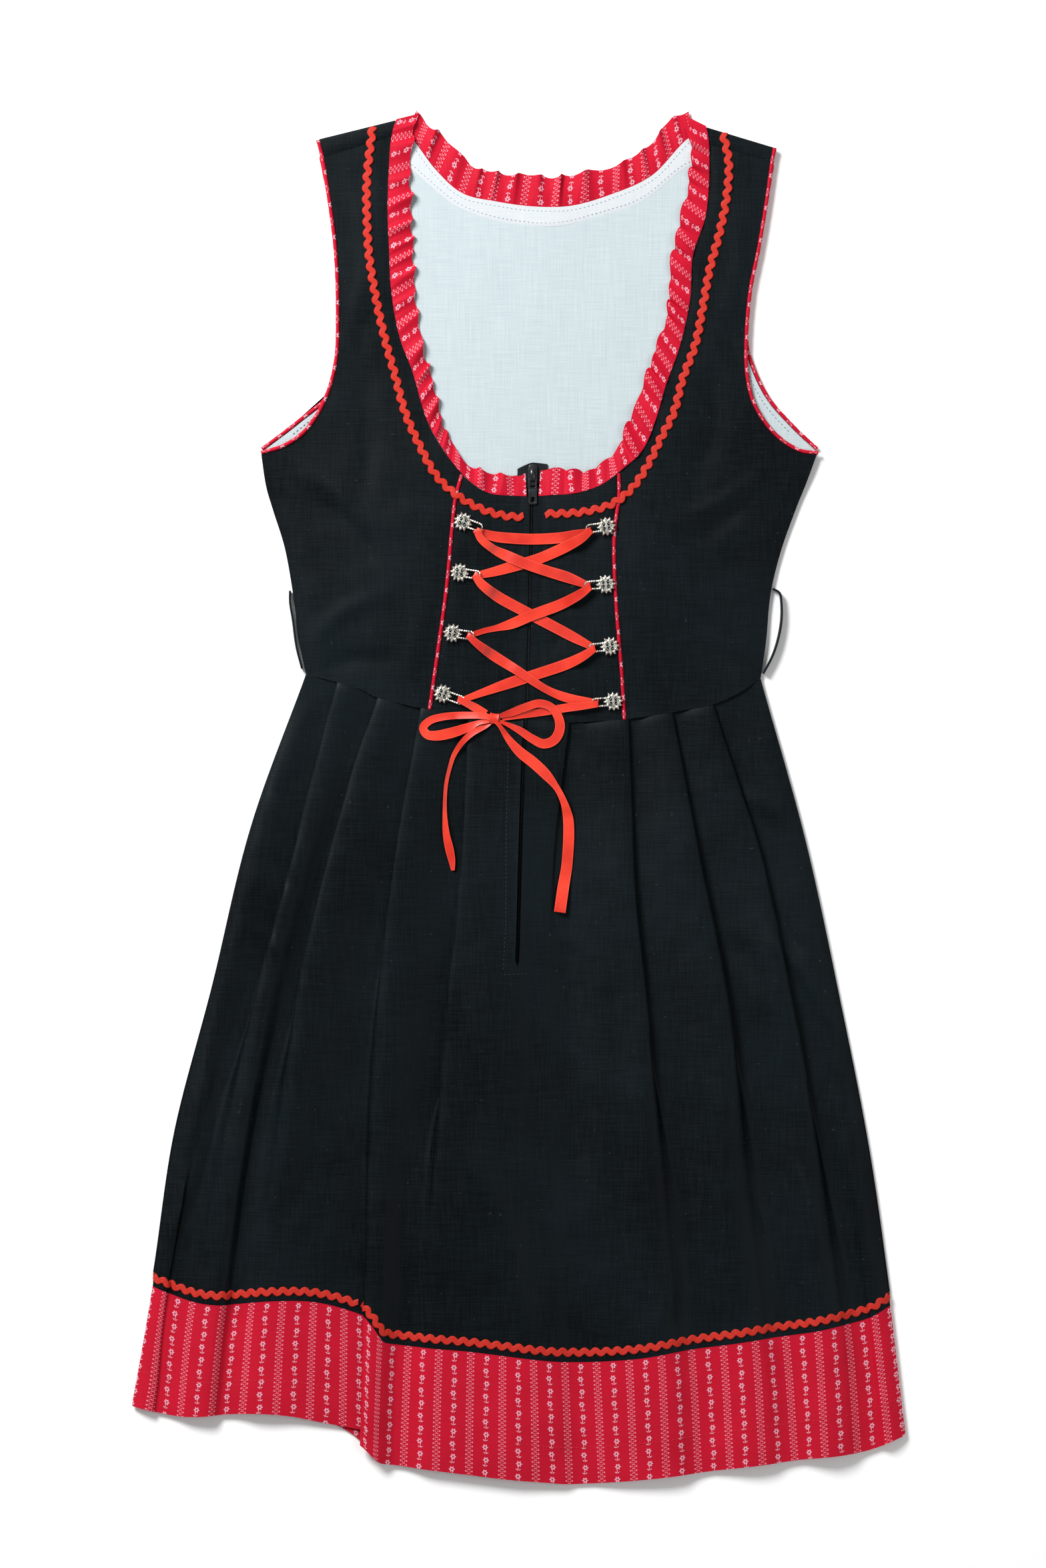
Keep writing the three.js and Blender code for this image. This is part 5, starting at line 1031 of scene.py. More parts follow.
# The four panels of the front. princess_seams keeps each seam up to the neck, for its piping.
ground = Ground()
princess_seams = {}
for side in ("left", "right"):
    left = side == "left"
    inward = 1 if left else -1
    side_seam = np.array(SIDE_SEAM_LEFT if left else SIDE_SEAM_RIGHT, float)
    armhole = FRONT_ARMHOLE_LEFT if left else FRONT_ARMHOLE_RIGHT
    princess = PRINCESS_LEFT if left else PRINCESS_RIGHT
    neck = NECK_SEAM_LEFT if left else NECK_SEAM_RIGHT
    s = SHOULDERS[side]
    meet = princess[-1][0]
    low_neck = neck[:7][::-1] if left else neck[:7]
    neck_up = [p for p in neck if (p[0] <= meet if left else p[0] >= meet)]
    neck_meet = [meet, float(y_at(low_neck, meet))]

    body_rows = 52
    strap_rows = 76
    arm_line = moved(spaced(armhole, strap_rows), -inward * (2 * PIPING_RADIUS - 0.2))
    arm_line[-1] = (s["seam_outer"][0] + inward * 2.6, s["seam_outer"][1])
    outer = np.vstack([spaced(side_seam, body_rows)[:-1], arm_line])
    seam = princess[:-1] + [neck_meet]
    princess_seams[side] = seam
    princess_line = moved(spaced(seam, body_rows), inward * PIPING_RADIUS * 0.75)
    neck_line = spaced([neck_meet] + neck_up[1:], strap_rows)
    neck_line[-1] = s["seam_inner"]
    neck_line[0] = princess_line[-1]
    inner = np.vstack([princess_line[:-1], neck_line])
    flat = panel(outer, inner, 36)
    flat[0, :, 1] = y_at(WAIST, flat[0, :, 0]) + 0.2
    from_side = np.linspace(1, 0, 37)[None, :]
    tucked = np.exp(-(from_side * 26) ** 2 / 6)
    height = front_height(flat[..., 0], flat[..., 1]) - 0.45 * tucked
    grid = raised(flat, height)
    piece = cloth(f"side_front_{side}", [(grid, flat)], CLOTH_WALL, BLACK, [f"side_front_{side}"])
    ground.add(piece)

    rows = 44
    centre_outer = moved(spaced(seam, rows), -inward * PIPING_RADIUS * 0.75)
    top_y = neck[0][1]
    zip_top = [float(x_at(ZIP_LINE, top_y)), top_y]
    zip_low = [float(x_at(ZIP_LINE, WAIST_AT_ZIP)), WAIST_AT_ZIP]
    zip_edge = moved(spaced([zip_low, ZIP_LINE[2], ZIP_LINE[1], zip_top], rows), inward * 1.3)
    flat = panel(centre_outer, zip_edge, 26)
    waist_pull = y_at(WAIST, flat[0, :, 0]) + 0.2 - flat[0, :, 1]
    neck_pull = y_at(low_neck, flat[-1, :, 0]) - flat[-1, :, 1]
    for k in range(4):
        flat[k, :, 1] += waist_pull * (1 - k / 4)
        flat[-1 - k, :, 1] += neck_pull * (1 - k / 4)
    height = front_height(flat[..., 0], flat[..., 1])
    zip_off = np.abs(flat[..., 0] - x_at(ZIP_LINE, flat[..., 1]))
    height = height + 0.35 * np.exp(-((zip_off - 2.2) / 1.3) ** 2)
    height = height - 0.5 * np.exp(-((zip_off - 8.5) / 1.2) ** 2)
    height = height - 0.45 * np.exp(-(np.linspace(0, 26, 27)[None, :] / 1.2) ** 2)
    grid = raised(flat, height)
    piece = cloth(f"centre_front_{side}", [(grid, flat)], CLOTH_WALL, BLACK, [f"centre_front_{side}"])
    ground.add(piece)


# A soft wave in eight points: x and share of the pleat's height
WAVE = np.array([[-16, 1], [-8, 0.95], [-3, 0.75], [0, 0.5], [3, 0.28], [6, 0.12], [9, 0.03], [14, 0]])
PLEAT_BEFORE_SLIT = 3


# One row across the skirt's front, at a share v of its length: x, height and 0 or 1 for the side of the
# step in the hem. Each pleat goes from a soft wave to a crisp fold. The slit parts two of the points.
def skirt_row(v):
    def at(values):
        return float(curve_value(LEVELS, values, v))

    side_rise = 3.2 * float(ease(v / 0.2))
    left_x = at(SIDE_LEFT)
    points = [[left_x, 0, 0], [left_x + 3 + 2 * v, 0.75 * side_rise, 0], [left_x + 9 + 4 * v, side_rise, 0]]
    for number, pleat in enumerate(PLEATS):
        edge = at(pleat["edge"])
        height = max(1, at(pleat["height"]))
        crisp = min(1, max(0, at(pleat["crisp"])))
        radius = 0.85 + max(0, height - 3.4) * 0.16
        under = max(2 * radius + 0.4, at(pleat["under"]))
        soft = 0.6 + height / 9
        folded = np.array([[-under - 0.8, height], [-radius, height], [0, height - radius],
                           [-radius, height - 2 * radius], [-under + radius, 2 * radius], [-under, radius],
                           [-under + radius, 0], [4, 0]])
        waved = WAVE * [soft, height]
        line = (waved + (folded - waved) * crisp).tolist()
        if pleat["facing"] < 0:
            line = line[::-1]
        for k, (q, h) in enumerate(line):
            zone = 0 if number < HEM_PLEAT or (number == HEM_PLEAT and k < 4) else 1
            points.append([edge + pleat["facing"] * q, h, zone])
        if number == PLEAT_BEFORE_SLIT:
            slit_height = (points[-1][1] + at(PLEATS[number + 1]["height"])) / 2
            zip_x = float(x_at(ZIP_LINE, float(skirt_y(0, v, 1))))
            slit = ZIP_SLIT if v < ZIP_ROW else 0.0
            slit_at = len(points)
            points.append([zip_x - slit, slit_height, 1])
            points.append([zip_x + slit, slit_height, 1])
    points[2][0] = min(points[2][0], points[3][0] - 2)
    right_x = at(SIDE_RIGHT)
    points.append([right_x - 9 - 4 * v, side_rise, 1])
    points.append([right_x - 3 - 2 * v, 0.75 * side_rise, 1])
    points.append([right_x, 0, 1])
    return np.array(points), slit_at


# How far down a point of the skirt lies. Zone 0 is left of the step in the hem and zone 1 is right of it.
def skirt_y(x, v, zone):
    zone = np.asarray(zone, float)
    seam_y = y_at(HEM_SEAM_LEFT, x) * (1 - zone) + y_at(HEM_SEAM_RIGHT, x) * zone
    hem_y = y_at(HEM_LEFT, x) * (1 - zone) + y_at(HEM_RIGHT, x) * zone
    if v <= 1:
        waist_y = y_at(WAIST, x)
        return waist_y + (seam_y - waist_y) * v
    return seam_y + (hem_y - seam_y) * (v - 1) / BAND


# How many columns each stretch between two points of a row gets, from its greatest length in any row
ROW_COUNTS = []
for v in np.linspace(0, 1 + BAND, 12):
    row, slit_column = skirt_row(v)
    ROW_COUNTS.append(np.hypot(*np.diff(row[:, :2], axis=0).T))
ROW_COUNTS = np.maximum(2, np.ceil(np.max(ROW_COUNTS, axis=0) / 4.6)).astype(int)
ROW_COUNTS[slit_column] = 1


# A fine row: round through the corners of the coarse one
def fine_row(v, part):
    row, slit_at = skirt_row(v)
    kept = slice(0, slit_at + 1) if part == 0 else slice(slit_at + 1, None)
    row = row[kept]
    counts = ROW_COUNTS[kept]
    p = np.vstack([2 * row[0] - row[1], row, 2 * row[-1] - row[-2]])
    out = [row[:1]]
    for k in range(1, len(p) - 2):
        b, c, leave, arrive = stretch_ends(p[k - 1:k + 3], 0.3)
        t = np.linspace(0, 1, counts[k - 1] + 1)[1:, None]
        line = hermite(b, c, leave, arrive, t)
        line[:, 2] = b[2] + (c[2] - b[2]) * t[:, 0]
        out.append(line)
    return np.vstack(out)


# The skirt's side edges as lines
SIDE_Y = np.interp(LEVELS, [0, 1, 1 + BAND], [88, -355, -443])
LEFT_EDGE = np.stack([SIDE_LEFT, SIDE_Y], axis=1)
RIGHT_EDGE = np.stack([SIDE_RIGHT, SIDE_Y], axis=1)


# The middle of the skirt's cloth at the given levels, left (0) or right (1) of the zip's slit
def skirt_grid(levels, part):
    grid = []
    for v in levels:
        row = fine_row(v, part)
        x = row[:, 0]
        edge_x = float(curve_value(LEVELS, PLEATS[HEM_PLEAT]["edge"], v))
        kept = 0.6 * max(0, v - 1) / BAND
        zone = np.clip(row[:, 2], 0, 1) * (kept + (1 - kept) * ease((x - edge_x + 1) / 17))
        y = skirt_y(x, v, zone)
        grid.append(np.stack([x, y, SKIRT_MIDDLE + np.maximum(row[:, 1], 0)], axis=1))
    grid = np.array(grid)
    x, y = grid[..., 0], grid[..., 1]
    way = np.gradient(grid, axis=1)
    up = way[..., 0] / np.maximum(1e-6, np.hypot(way[..., 0], way[..., 2]))
    edge = np.minimum(x - x_at(LEFT_EDGE, y), x_at(RIGHT_EDGE, y) - x)
    free = ease(edge / 14) * np.clip(up, 0, 1)
    rise = 1.7 * creases(x, y, SKIRT_CREASES) + 1.3 * ripple(x, y, 95, 4) + 0.3 * ripple(x, y, 34, 5)
    fade = ease((np.asarray(levels)[:, None] + 0.02) / 0.1)
    fade = fade * (0.1 + 0.9 * ease((np.hypot((x + 2) / 52, (y - 5) / 98) - 0.85) / 0.5))
    grid[..., 2] += np.maximum(free * fade * rise, 0.4 - np.maximum(grid[..., 2] - 1.6, 0))
    return grid


# The skirt's front: two halves beside the slit and one sheet below it. The rows are closer at the waist.
rows_down = np.unique(np.concatenate([np.linspace(0, 0.12, 16), np.linspace(0.12, ZIP_ROW, 28),
                                      np.linspace(ZIP_ROW, 1, 62)]))
skirt_halves = [skirt_grid(rows_down, part) for part in (0, 1)]
for half in skirt_halves:
    tuck = ease(1 - rows_down / 0.008)[:, None]
    half[..., 2] -= 0.9 * tuck * (half[..., 2] > 3)
open_rows = rows_down < ZIP_ROW - 1e-9
skirt_halves[1][~open_rows, 0] = skirt_halves[0][~open_rows, -1]
for half in skirt_halves:
    zip_off = np.abs(half[..., 0] - x_at(ZIP_LINE, half[..., 1]))
    end = ease((rows_down - ZIP_ROW) / 0.03)[:, None]
    half[..., 2] += 0.45 * np.exp(-((zip_off - 1.6) / 1.6) ** 2) * (1 - end)
waist_uv = [cloth_uv(half) for half in skirt_halves]
waist_uv[1][..., 0] += waist_uv[0][:, -1:, 0].mean()
skirt = cloth("skirt_front", list(zip(skirt_halves, waist_uv)), CLOTH_WALL, BLACK, ["skirt_front"])
ground.add(skirt)

# The band of print cloth below it, in one sheet. Its print keeps upright as the band widens.
band_rows = np.linspace(1, 1 + BAND, 26)
band = [skirt_grid(band_rows, part) for part in (0, 1)]
band[1][:, 0] = band[0][:, -1]
band = np.concatenate([band[0], band[1][:, 1:]], axis=1)
band[0, :, 1] -= 0.1
band_uv = cloth_uv(band)
band_uv[..., 0] = band_uv[..., 0].mean(axis=0)
hem = cloth("hem_band_front", [(band, band_uv)], CLOTH_WALL, PRINT, ["hem_band_front"])
ground.add(hem)

# The back of the dress lies flat on the surface
back_grids = []
for side in ("left", "right"):
    left = side == "left"
    sign = 1 if left else -1
    s = SHOULDERS[side]
    side_seam = SIDE_SEAM_LEFT if left else SIDE_SEAM_RIGHT
    armhole = BACK_ARMHOLE_LEFT if left else BACK_ARMHOLE_RIGHT
    neck = BACK_NECK[:6][::-1] if left else BACK_NECK[5:]
    strap = moved(spaced(armhole, 40), -sign * (2 * PIPING_RADIUS + GAP))
    strap[-1] = (s["fold_outer"][0] + sign * 4.7, s["fold_outer"][1] - 8.5)
    outer = np.vstack([spaced(side_seam, 26)[:-1], strap])
    neck_line = spaced(neck, 40)
    neck_line[-1] = (s["fold_inner"][0], s["fold_inner"][1] - 8.5)
    low = [BACK_NECK[5][0], float(y_at(WAIST, BACK_NECK[5][0])) + 0.2]
    inner = np.vstack([spaced([low, BACK_NECK[5]], 26)[:-1], neck_line])
    flat = panel(outer, inner, 18)
    flat[0, :, 1] = y_at(WAIST, flat[0, :, 0]) + 0.2
    back_grids.append((raised(flat, BACK_MIDDLE), flat))
cloth("bodice_back", back_grids, BACK_WALL, BLACK, ["bodice_back"])

# The white lining lies on it, and the facing on that along the neck
lining_grids = []
for side in ("left", "right"):
    left = side == "left"
    sign = 1 if left else -1
    side_seam = SIDE_SEAM_LEFT if left else SIDE_SEAM_RIGHT
    armhole = BACK_ARMHOLE_LEFT if left else BACK_ARMHOLE_RIGHT
    neck = FACING_EDGE[:5][::-1] if left else FACING_EDGE[4:]
    strap = moved(spaced(armhole, 40), -sign * (2 * PIPING_RADIUS + 0.5))
    strap[-1] += (sign * 1.8, -8)
    outer = np.vstack([moved(spaced(side_seam, 26), -sign * (SIDE_ROLL + 1))[:-1], strap])
    neck_line = spaced(neck, 30)
    low = [FACING_EDGE[4][0], float(y_at(WAIST, FACING_EDGE[4][0])) + 2]
    inner = np.vstack([spaced([low, FACING_EDGE[4]], 36)[:-1], neck_line])
    flat = panel(outer, inner, 22)
    flat[0, :, 1] = y_at(WAIST, flat[0, :, 0]) + 2
    x = flat[..., 0]
    y = flat[..., 1]
    open_part = ease((y - 235) / 30)
    height = 2.0 + 0.22 * open_part * ripple(x, y, 70, 7)
    height = height + 0.3 * open_part * creases(x, y, LINING_CREASES)
    lining_grids.append((raised(flat, height), flat))
cloth("back_lining", lining_grids, 0.7, LINING, ["back_lining"])

facing_outer = moved(spaced(BACK_NECK, 68), 0.3)
facing_inner = np.vstack([spaced(FACING_EDGE[:5], 34)[:-1], spaced(FACING_EDGE[4:], 34)])
flat = panel(facing_inner, facing_outer, 10)
turned_edge = np.exp(-(np.arange(11) * 1.1)[None, :] ** 2)
height = 2.35 + 0.12 * ripple(flat[..., 0], flat[..., 1], 40, 3) - 0.25 * turned_edge
grid = raised(flat, height)
cloth("back_neck_facing", [(grid, cloth_uv(grid))], THIN_WALL, FACING, ["back_neck_facing"])
FACING_TOP = 2.65
# Rings of a stitch: place along it, rise and share of its thickness
STITCH = [(-1, -0.12, 0.35), (-0.6, 0.1, 0.9), (0, 0.2, 1), (0.6, 0.1, 0.9), (1, -0.12, 0.35)]


# A row of stitches along a line. Each is a short rounded thread that covers its share of the pitch.
def stitches(name, line, pitch, share, height, finish, radius):
    line = np.asarray(line, float)
    length = along_line(line[:, :2])
    points = []
    faces = []
    for k in range(int(length[-1] // pitch)):
        reach = np.array([k + 0.5 - share / 2, k + 0.5 + share / 2]) * pitch
        first, last = read_at(reach, length, line[:, :2])
        way = (last - first) / max(1e-9, np.linalg.norm(last - first))
        side = np.array([-way[1], way[0]])
        middle = (first + last) / 2
        half_way = (last - first) / 2
        z = [height(*(middle + half_way * t)) for t in (-1, 0, 1)]
        start = len(points)
        for t, lift, size in STITCH:
            base = z[0] + (z[1] - z[0]) * (1 + t) if t < 0 else z[1] + (z[2] - z[1]) * t
            for j in range(6):
                angle = j * math.pi / 3
                spot = middle + half_way * t + side * math.cos(angle) * radius * size
                points.append((spot[0], spot[1], base + lift + math.sin(angle) * radius * size))
        for i in range(4):
            for j in range(6):
                a0 = start + i * 6 + j
                a1 = start + i * 6 + (j + 1) % 6
                faces.append((a0, a0 + 6, a1 + 6, a1))
        faces.append(tuple(start + j for j in range(6)))
        faces.append(tuple(start + 24 + j for j in reversed(range(6))))
    obj = make_mesh(name, points, faces)
    smooth(obj, 80)
    finish_piece(obj, finish)


# Heights for stitches: on the facing, on the lining by the armholes and on whatever of the front lies there
def on_facing(x, y):
    return FACING_TOP - 0.05


def on_lining(x, y):
    return 2.38


def on_front(x, y):
    return ground.height(x, y) + 0.02


stitches("facing_stitches_upper", moved(facing_outer, -3.0)[2:-2], 3.1, 0.45, on_facing, WHITE_THREAD, 0.27)
stitches("facing_stitches_lower", moved(facing_inner, 2.6)[2:-2], 3.1, 0.45, on_facing, WHITE_THREAD, 0.27)

# The cloth of the back comes over the shoulder and is sewn to the front
SHOULDER_TOP = FRONT_LEVEL + CLOTH
SHOULDER_INSET = 2.9
FOLD_START = 8.2
for side in ("left", "right"):
    s = SHOULDERS[side]
    inset = SHOULDER_INSET if side == "left" else -SHOULDER_INSET
    middle = SHOULDER_TOP / 2
    mid_radius = middle - BACK_MIDDLE
    grid = []
    for t in np.linspace(0, 1, 37):
        fold = np.array(s["fold_outer"]) * (1 - t) + np.array(s["fold_inner"]) * t
        seam = np.array(s["seam_outer"]) * (1 - t) + np.array(s["seam_inner"]) * t
        shift = inset * (1 - t)
        row = [(fold[0] + shift, fold[1] - FOLD_START, BACK_MIDDLE)]
        for angle in np.linspace(-math.pi / 2, math.pi / 2, 15):
            row.append((fold[0] + shift, fold[1] - middle + mid_radius * math.cos(angle),
                        middle + mid_radius * math.sin(angle)))
        last = np.array(row[-1])
        target = np.array([seam[0] + shift, seam[1] + 0.2, SHOULDER_TOP - BACK_MIDDLE])
        for k in np.linspace(0, 1, 8)[1:]:
            at = last + (target - last) * k
            row.append((at[0], at[1], at[2] - 0.35 * k ** 6 + 0.25 * math.sin(k * math.pi)))
        grid.append(row)
    grid = np.array(grid)
    ground.add(cloth(f"shoulder_fold_{side}", [(grid, cloth_uv(grid))], CLOTH_WALL, BLACK,
                     [f"shoulder_fold_{side}"]))


# A gathered frill. Its folds are tight at the seam and open at the free edge, where some lie over the next.
def frill(name, seam_line, edge_line, root_level, edge_level, pitch, seed, flip=1, lobe=1.7, sway=1.6):
    seam_length = along_line(np.asarray(seam_line, float)[:, :2])[-1]
    folds = int(round(seam_length / pitch))
    steps = folds * 18
    seam = spaced(seam_line, steps)
    edge = spaced(edge_line, steps)
    s = np.arange(steps + 1) / 18
    phase = 2 * math.pi * s + 2.1 * np.sin(s * 0.83 + seed) + 0.75 * np.sin(s * 2.1 + seed * 2)
    strength = 0.66 + 0.34 * np.sin(s * 1.37 + seed * 1.7) * np.cos(s * 0.53 + seed)
    strength = strength * (0.3 + 0.7 * ease(np.minimum(s, folds - s)))
    way = direction_of((seam + edge) / 2)
    out = edge - seam
    depth = np.linalg.norm(out, axis=1)
    out = out / depth[:, None]
    grid = []
    for t in np.linspace(0, 1, 19):
        line = seam + (edge - seam) * t
        crest = (0.5 + 0.5 * np.sin(phase + 0.9 * t)) ** 1.3
        small = 0.5 + 0.5 * np.sin(3 * phase + seed)
        height = (1.1 + 3.6 * t ** 0.7) * strength * crest + 0.35 * (1 - t) * small
        shift = (0.5 + sway * t ** 0.8) * strength * np.sin(phase + 1.4) * flip
        droop = t ** 2 * lobe * (strength * np.sin(phase - 0.3) + 0.5 * np.sin(phase / 2 + seed))
        bulge = 0.7 * math.sin(math.pi * t) * strength
        flat_part = line + way * shift[:, None] + out * droop[:, None]
        base = root_level(line[:, 0], line[:, 1]) * (1 - t) + edge_level * t
        grid.append(np.stack([flat_part[:, 0], flat_part[:, 1], base + height + bulge], axis=1))
    grid = np.array(grid)
    uv = np.zeros(grid.shape[:2] + (2,))
    uv[..., 0] = along_line(grid[12])
    uv[..., 1] = np.linspace(0, 1, 19)[:, None] * depth.mean()
    cloth(name, [(grid, uv)], THIN_WALL, PRINT, [name])


# Heights of the frills' roots on the front and on the back
def front_root(x, y):
    return front_level(x, y) + 0.75


def back_root(x, y):
    return np.full_like(x, 0.75)


# At the top the front frills end on the shoulder fold. Beside the zip their edges dip, so that its tape
# shows.
FRILL_TOPS = {"left": [[-91.5, 476], [-88.2, 487]], "right": [[137, 470], [135, 482]]}
FRILL_EDGES = {
    "left": [[4.6, 231.5], [-6, 232], [-20.5, 233]] + NECK_EDGE_LEFT[3:-1] + [[-77.2, 466], [-72, 491]],
    "right": [[16, 235], [27.5, 236.5], [44.5, 233.5]] + NECK_EDGE_RIGHT[3:-1] + [[124, 466], [120.5, 489]],
}
for side in ("left", "right"):
    left = side == "left"
    neck = (NECK_SEAM_LEFT if left else NECK_SEAM_RIGHT)[:-1] + FRILL_TOPS[side]
    line = moved(spaced(neck, 400), -0.35 if left else 0.35)
    seed = 1.3 if left else 4.1
    flip = 1 if left else -1
    frill(f"neck_ruffle_front_{side}", line[::8], FRILL_EDGES[side], front_root, 3.05, 16.0, seed, flip)
back_seam_line = [[x, float(y_at(BACK_NECK, x)) + 0.3] for x in np.linspace(-81, 126, 40)]
back_edge_line = [[-74, 493.2]] + BACK_RUFFLE_EDGE[1:-1] + [[122, 493]]
frill("neck_ruffle_back", back_seam_line, back_edge_line, back_root, 0.85, 19.0, 2.2, 1, 1.5, 1.7)


# Piping: a cord in print cloth on the bias
def piping(name, line, level, inset, count, seed=0.0):
    path = moved(spaced(line, count), inset)
    z = level(path[:, 0], path[:, 1])
    rings = []
    side = sideways(path)
    for k, (x, y) in enumerate(path[:, :2]):
        radius = PIPING_RADIUS * (1 + 0.05 * math.sin(k * 0.9 + seed) + 0.04 * math.sin(k * 2.3))
        ring = []
        for j in range(12):
            angle = 2 * math.pi * j / 12
            a = math.cos(angle) * radius
            ring.append((x + side[k, 0] * a, y + side[k, 1] * a, z[k] + math.sin(angle) * radius))
        rings.append(ring)
    points = np.stack([path[:, 0], path[:, 1], z], axis=1)
    return tube(name, np.array(rings), points, PIPING, [name])


# Heights of the piping's middle: round the back, round the front's armholes and in the princess seams
def back_piping(x, y):
    return np.full_like(x, PIPING_RADIUS)


def front_piping(x, y):
    return np.maximum(front_level(x, y), FRONT_LEVEL) + PIPING_RADIUS


def seam_piping(x, y):
    return front_level(x, y) + CLOTH - 0.25


front_arm_left = FRONT_ARMHOLE_LEFT + [[-145.6, 471.5]]
front_arm_right = FRONT_ARMHOLE_RIGHT + [[185.4, 466]]
piping("armhole_piping_back_left", BACK_ARMHOLE_LEFT, back_piping, -PIPING_RADIUS, 150)
piping("armhole_piping_back_right", BACK_ARMHOLE_RIGHT, back_piping, PIPING_RADIUS, 150)
piping("armhole_piping_front_left", front_arm_left, front_piping, -PIPING_RADIUS, 160, 2)
piping("armhole_piping_front_right", front_arm_right, front_piping, PIPING_RADIUS, 160, 3)
for side, seam in princess_seams.items():
    top_x, top_y = seam[-1]
    line = seam[:-1] + [[top_x, top_y - 0.6]]
    ground.add(piping(f"princess_piping_{side}", line, seam_piping, 0, 120, 5))


# Ric-rac: a flat braid in smooth waves, with raised cords along it. The line lies on the cloth, and normal
# points away from the cloth there.
def ricrac(name, line, normal):
    known = along_line(line)
    waves = round(known[-1] / RICRAC_PITCH)
    at = np.linspace(0, known[-1], waves * 12 + 1)
    base = read_at(at, known, line)
    lean = unit(read_at(at, known, normal))
    side = unit(np.cross(lean, direction_of(base)))
    phase = 2 * math.pi * np.arange(len(at)) / 12
    centre = base + side * (RICRAC_SWING * np.cos(phase))[:, None]
    across = unit(np.cross(lean, direction_of(centre)))
    share = np.linspace(-1, 1, 17)
    ridges = 0.2 * np.abs(np.sin(share * 2 * math.pi)) + 0.1
    ridges = ridges - 0.3 * np.abs(share) ** 6
    half = RICRAC_HALF_WIDTH + 0.1 * np.cos(2 * phase)
    rows = []
    for q, ridge in zip(share, ridges):
        rows.append(centre + across * (half * q)[:, None] + lean * (0.62 + ridge))
    for q in share[::-1]:
        rows.append(centre + across * (half * q)[:, None] + lean * 0.12)
    obj = tube(name, np.stack(rows, axis=1), centre, BRAID, [name])
    u = np.repeat(along_line(centre), len(rows))
    v = np.tile(np.concatenate([share, share[::-1]]) * RICRAC_HALF_WIDTH, len(centre))
    set_uv(obj.data, np.stack([u, v], axis=1))


for side, line in (("left", RICRAC_LEFT), ("right", RICRAC_RIGHT)):
    even = spaced(line, 180)
    z = smoothed(np.array([max(ground.highest(x, y, 2.0), 2.0) for x, y in even]), 6)
    upright = np.tile([0.0, 0.0, 1.0], (len(z), 1))
    ricrac(f"ricrac_neck_{side}", np.stack([even[:, 0], even[:, 1], z + 0.25], axis=1), upright)

# The braid above the hem band keeps to the cloth's folds, parted at the hem pleat
braid_v = 1 - HEM_RICRAC_UP / SKIRT_LENGTH
braid_rows = [skirt_grid([braid_v], part)[0] for part in (0, 1)]
braid_line = np.vstack([braid_rows[0], braid_rows[1][1:]])
hem_edge = float(curve_value(LEVELS, PLEATS[HEM_PLEAT]["edge"], 1))
way = np.gradient(braid_line, axis=0)
norm = np.stack([-way[:, 2], np.zeros(len(way)), way[:, 0]], axis=1)
norm /= np.maximum(1e-9, np.linalg.norm(norm, axis=1))[:, None]
first_stop = int(np.argmax(braid_line[:, 0] > hem_edge - 2))
last_start = len(braid_line) - 1 - int(np.argmax(braid_line[::-1, 0] < hem_edge + 0.5))
braid_line = braid_line + norm * 0.6
ricrac("ricrac_hem_front_left", braid_line[:first_stop], norm[:first_stop])
ricrac("ricrac_hem_front_right", braid_line[last_start:], norm[last_start:])


# A strip of the skirt's back, flat on the surface. start and stop give the level, and millimetres up from it.
def back_strip(name, start, stop, rows, finish, declared=True):
    grid = []
    for t in np.linspace(0, 1, rows + 1):
        v = start[0] + (stop[0] - start[0]) * t
        shift = start[1] + (stop[1] - start[1]) * t
        left = float(curve_value(LEVELS, SIDE_LEFT, v))
        right = float(curve_value(LEVELS, SIDE_RIGHT, v))
        x = left + (right - left) * np.linspace(0, 1, 71)
        share = ease((-90 - x) / 50)
        y = skirt_y(x, v, 0) * share + skirt_y(x, v, 1) * (1 - share) + shift
        grid.append(np.stack([x, y, np.full_like(x, BACK_MIDDLE)], axis=1))
    grid = np.array(grid)
    if start[0] == 0:
        grid[0, :, 1] = y_at(WAIST, grid[0, :, 0]) - 0.2
    cloth(name, [(grid, cloth_uv(grid))], BACK_WALL, finish, [name], declared=declared)


back_strip("skirt_back", (0, 0), (1, HEM_RICRAC_TOP + 0.2), 44, BLACK)
back_strip("ricrac_hem_back", (1, HEM_RICRAC_TOP), (1, 0.2), 2, BRAID, declared=False)
back_strip("hem_band_back", (1, 0), (1 + BAND, 1.5), 10, PRINT)

# Belt loops of doubled black cloth that stand on edge at the side seams. The section gives x and height.
LOOP_SECTION = [(0.7, 0.4), (0.75, 2), (0.75, 4.4), (0.5, 5.7), (0, 5.9), (-0.5, 5.7), (-0.75, 4.4),
    (-0.75, 2), (-0.7, 0.4)]
for side, line in (("left", BELT_LOOP_LEFT), ("right", BELT_LOOP_RIGHT)):
    path = spaced(line, 60)
    out = sideways(path)
    rings = []
    for k in range(len(path)):
        lean = 0.1 * math.sin(k / 60 * math.pi)
        rings.append([(*(path[k] + out[k] * (a + lean * b)), b) for a, b in LOOP_SECTION])
    points = np.column_stack([path, np.full(len(path), 3.0)])
    tube(f"belt_loop_{side}", np.array(rings), points, BLACK, [f"belt_loop_{side}"])

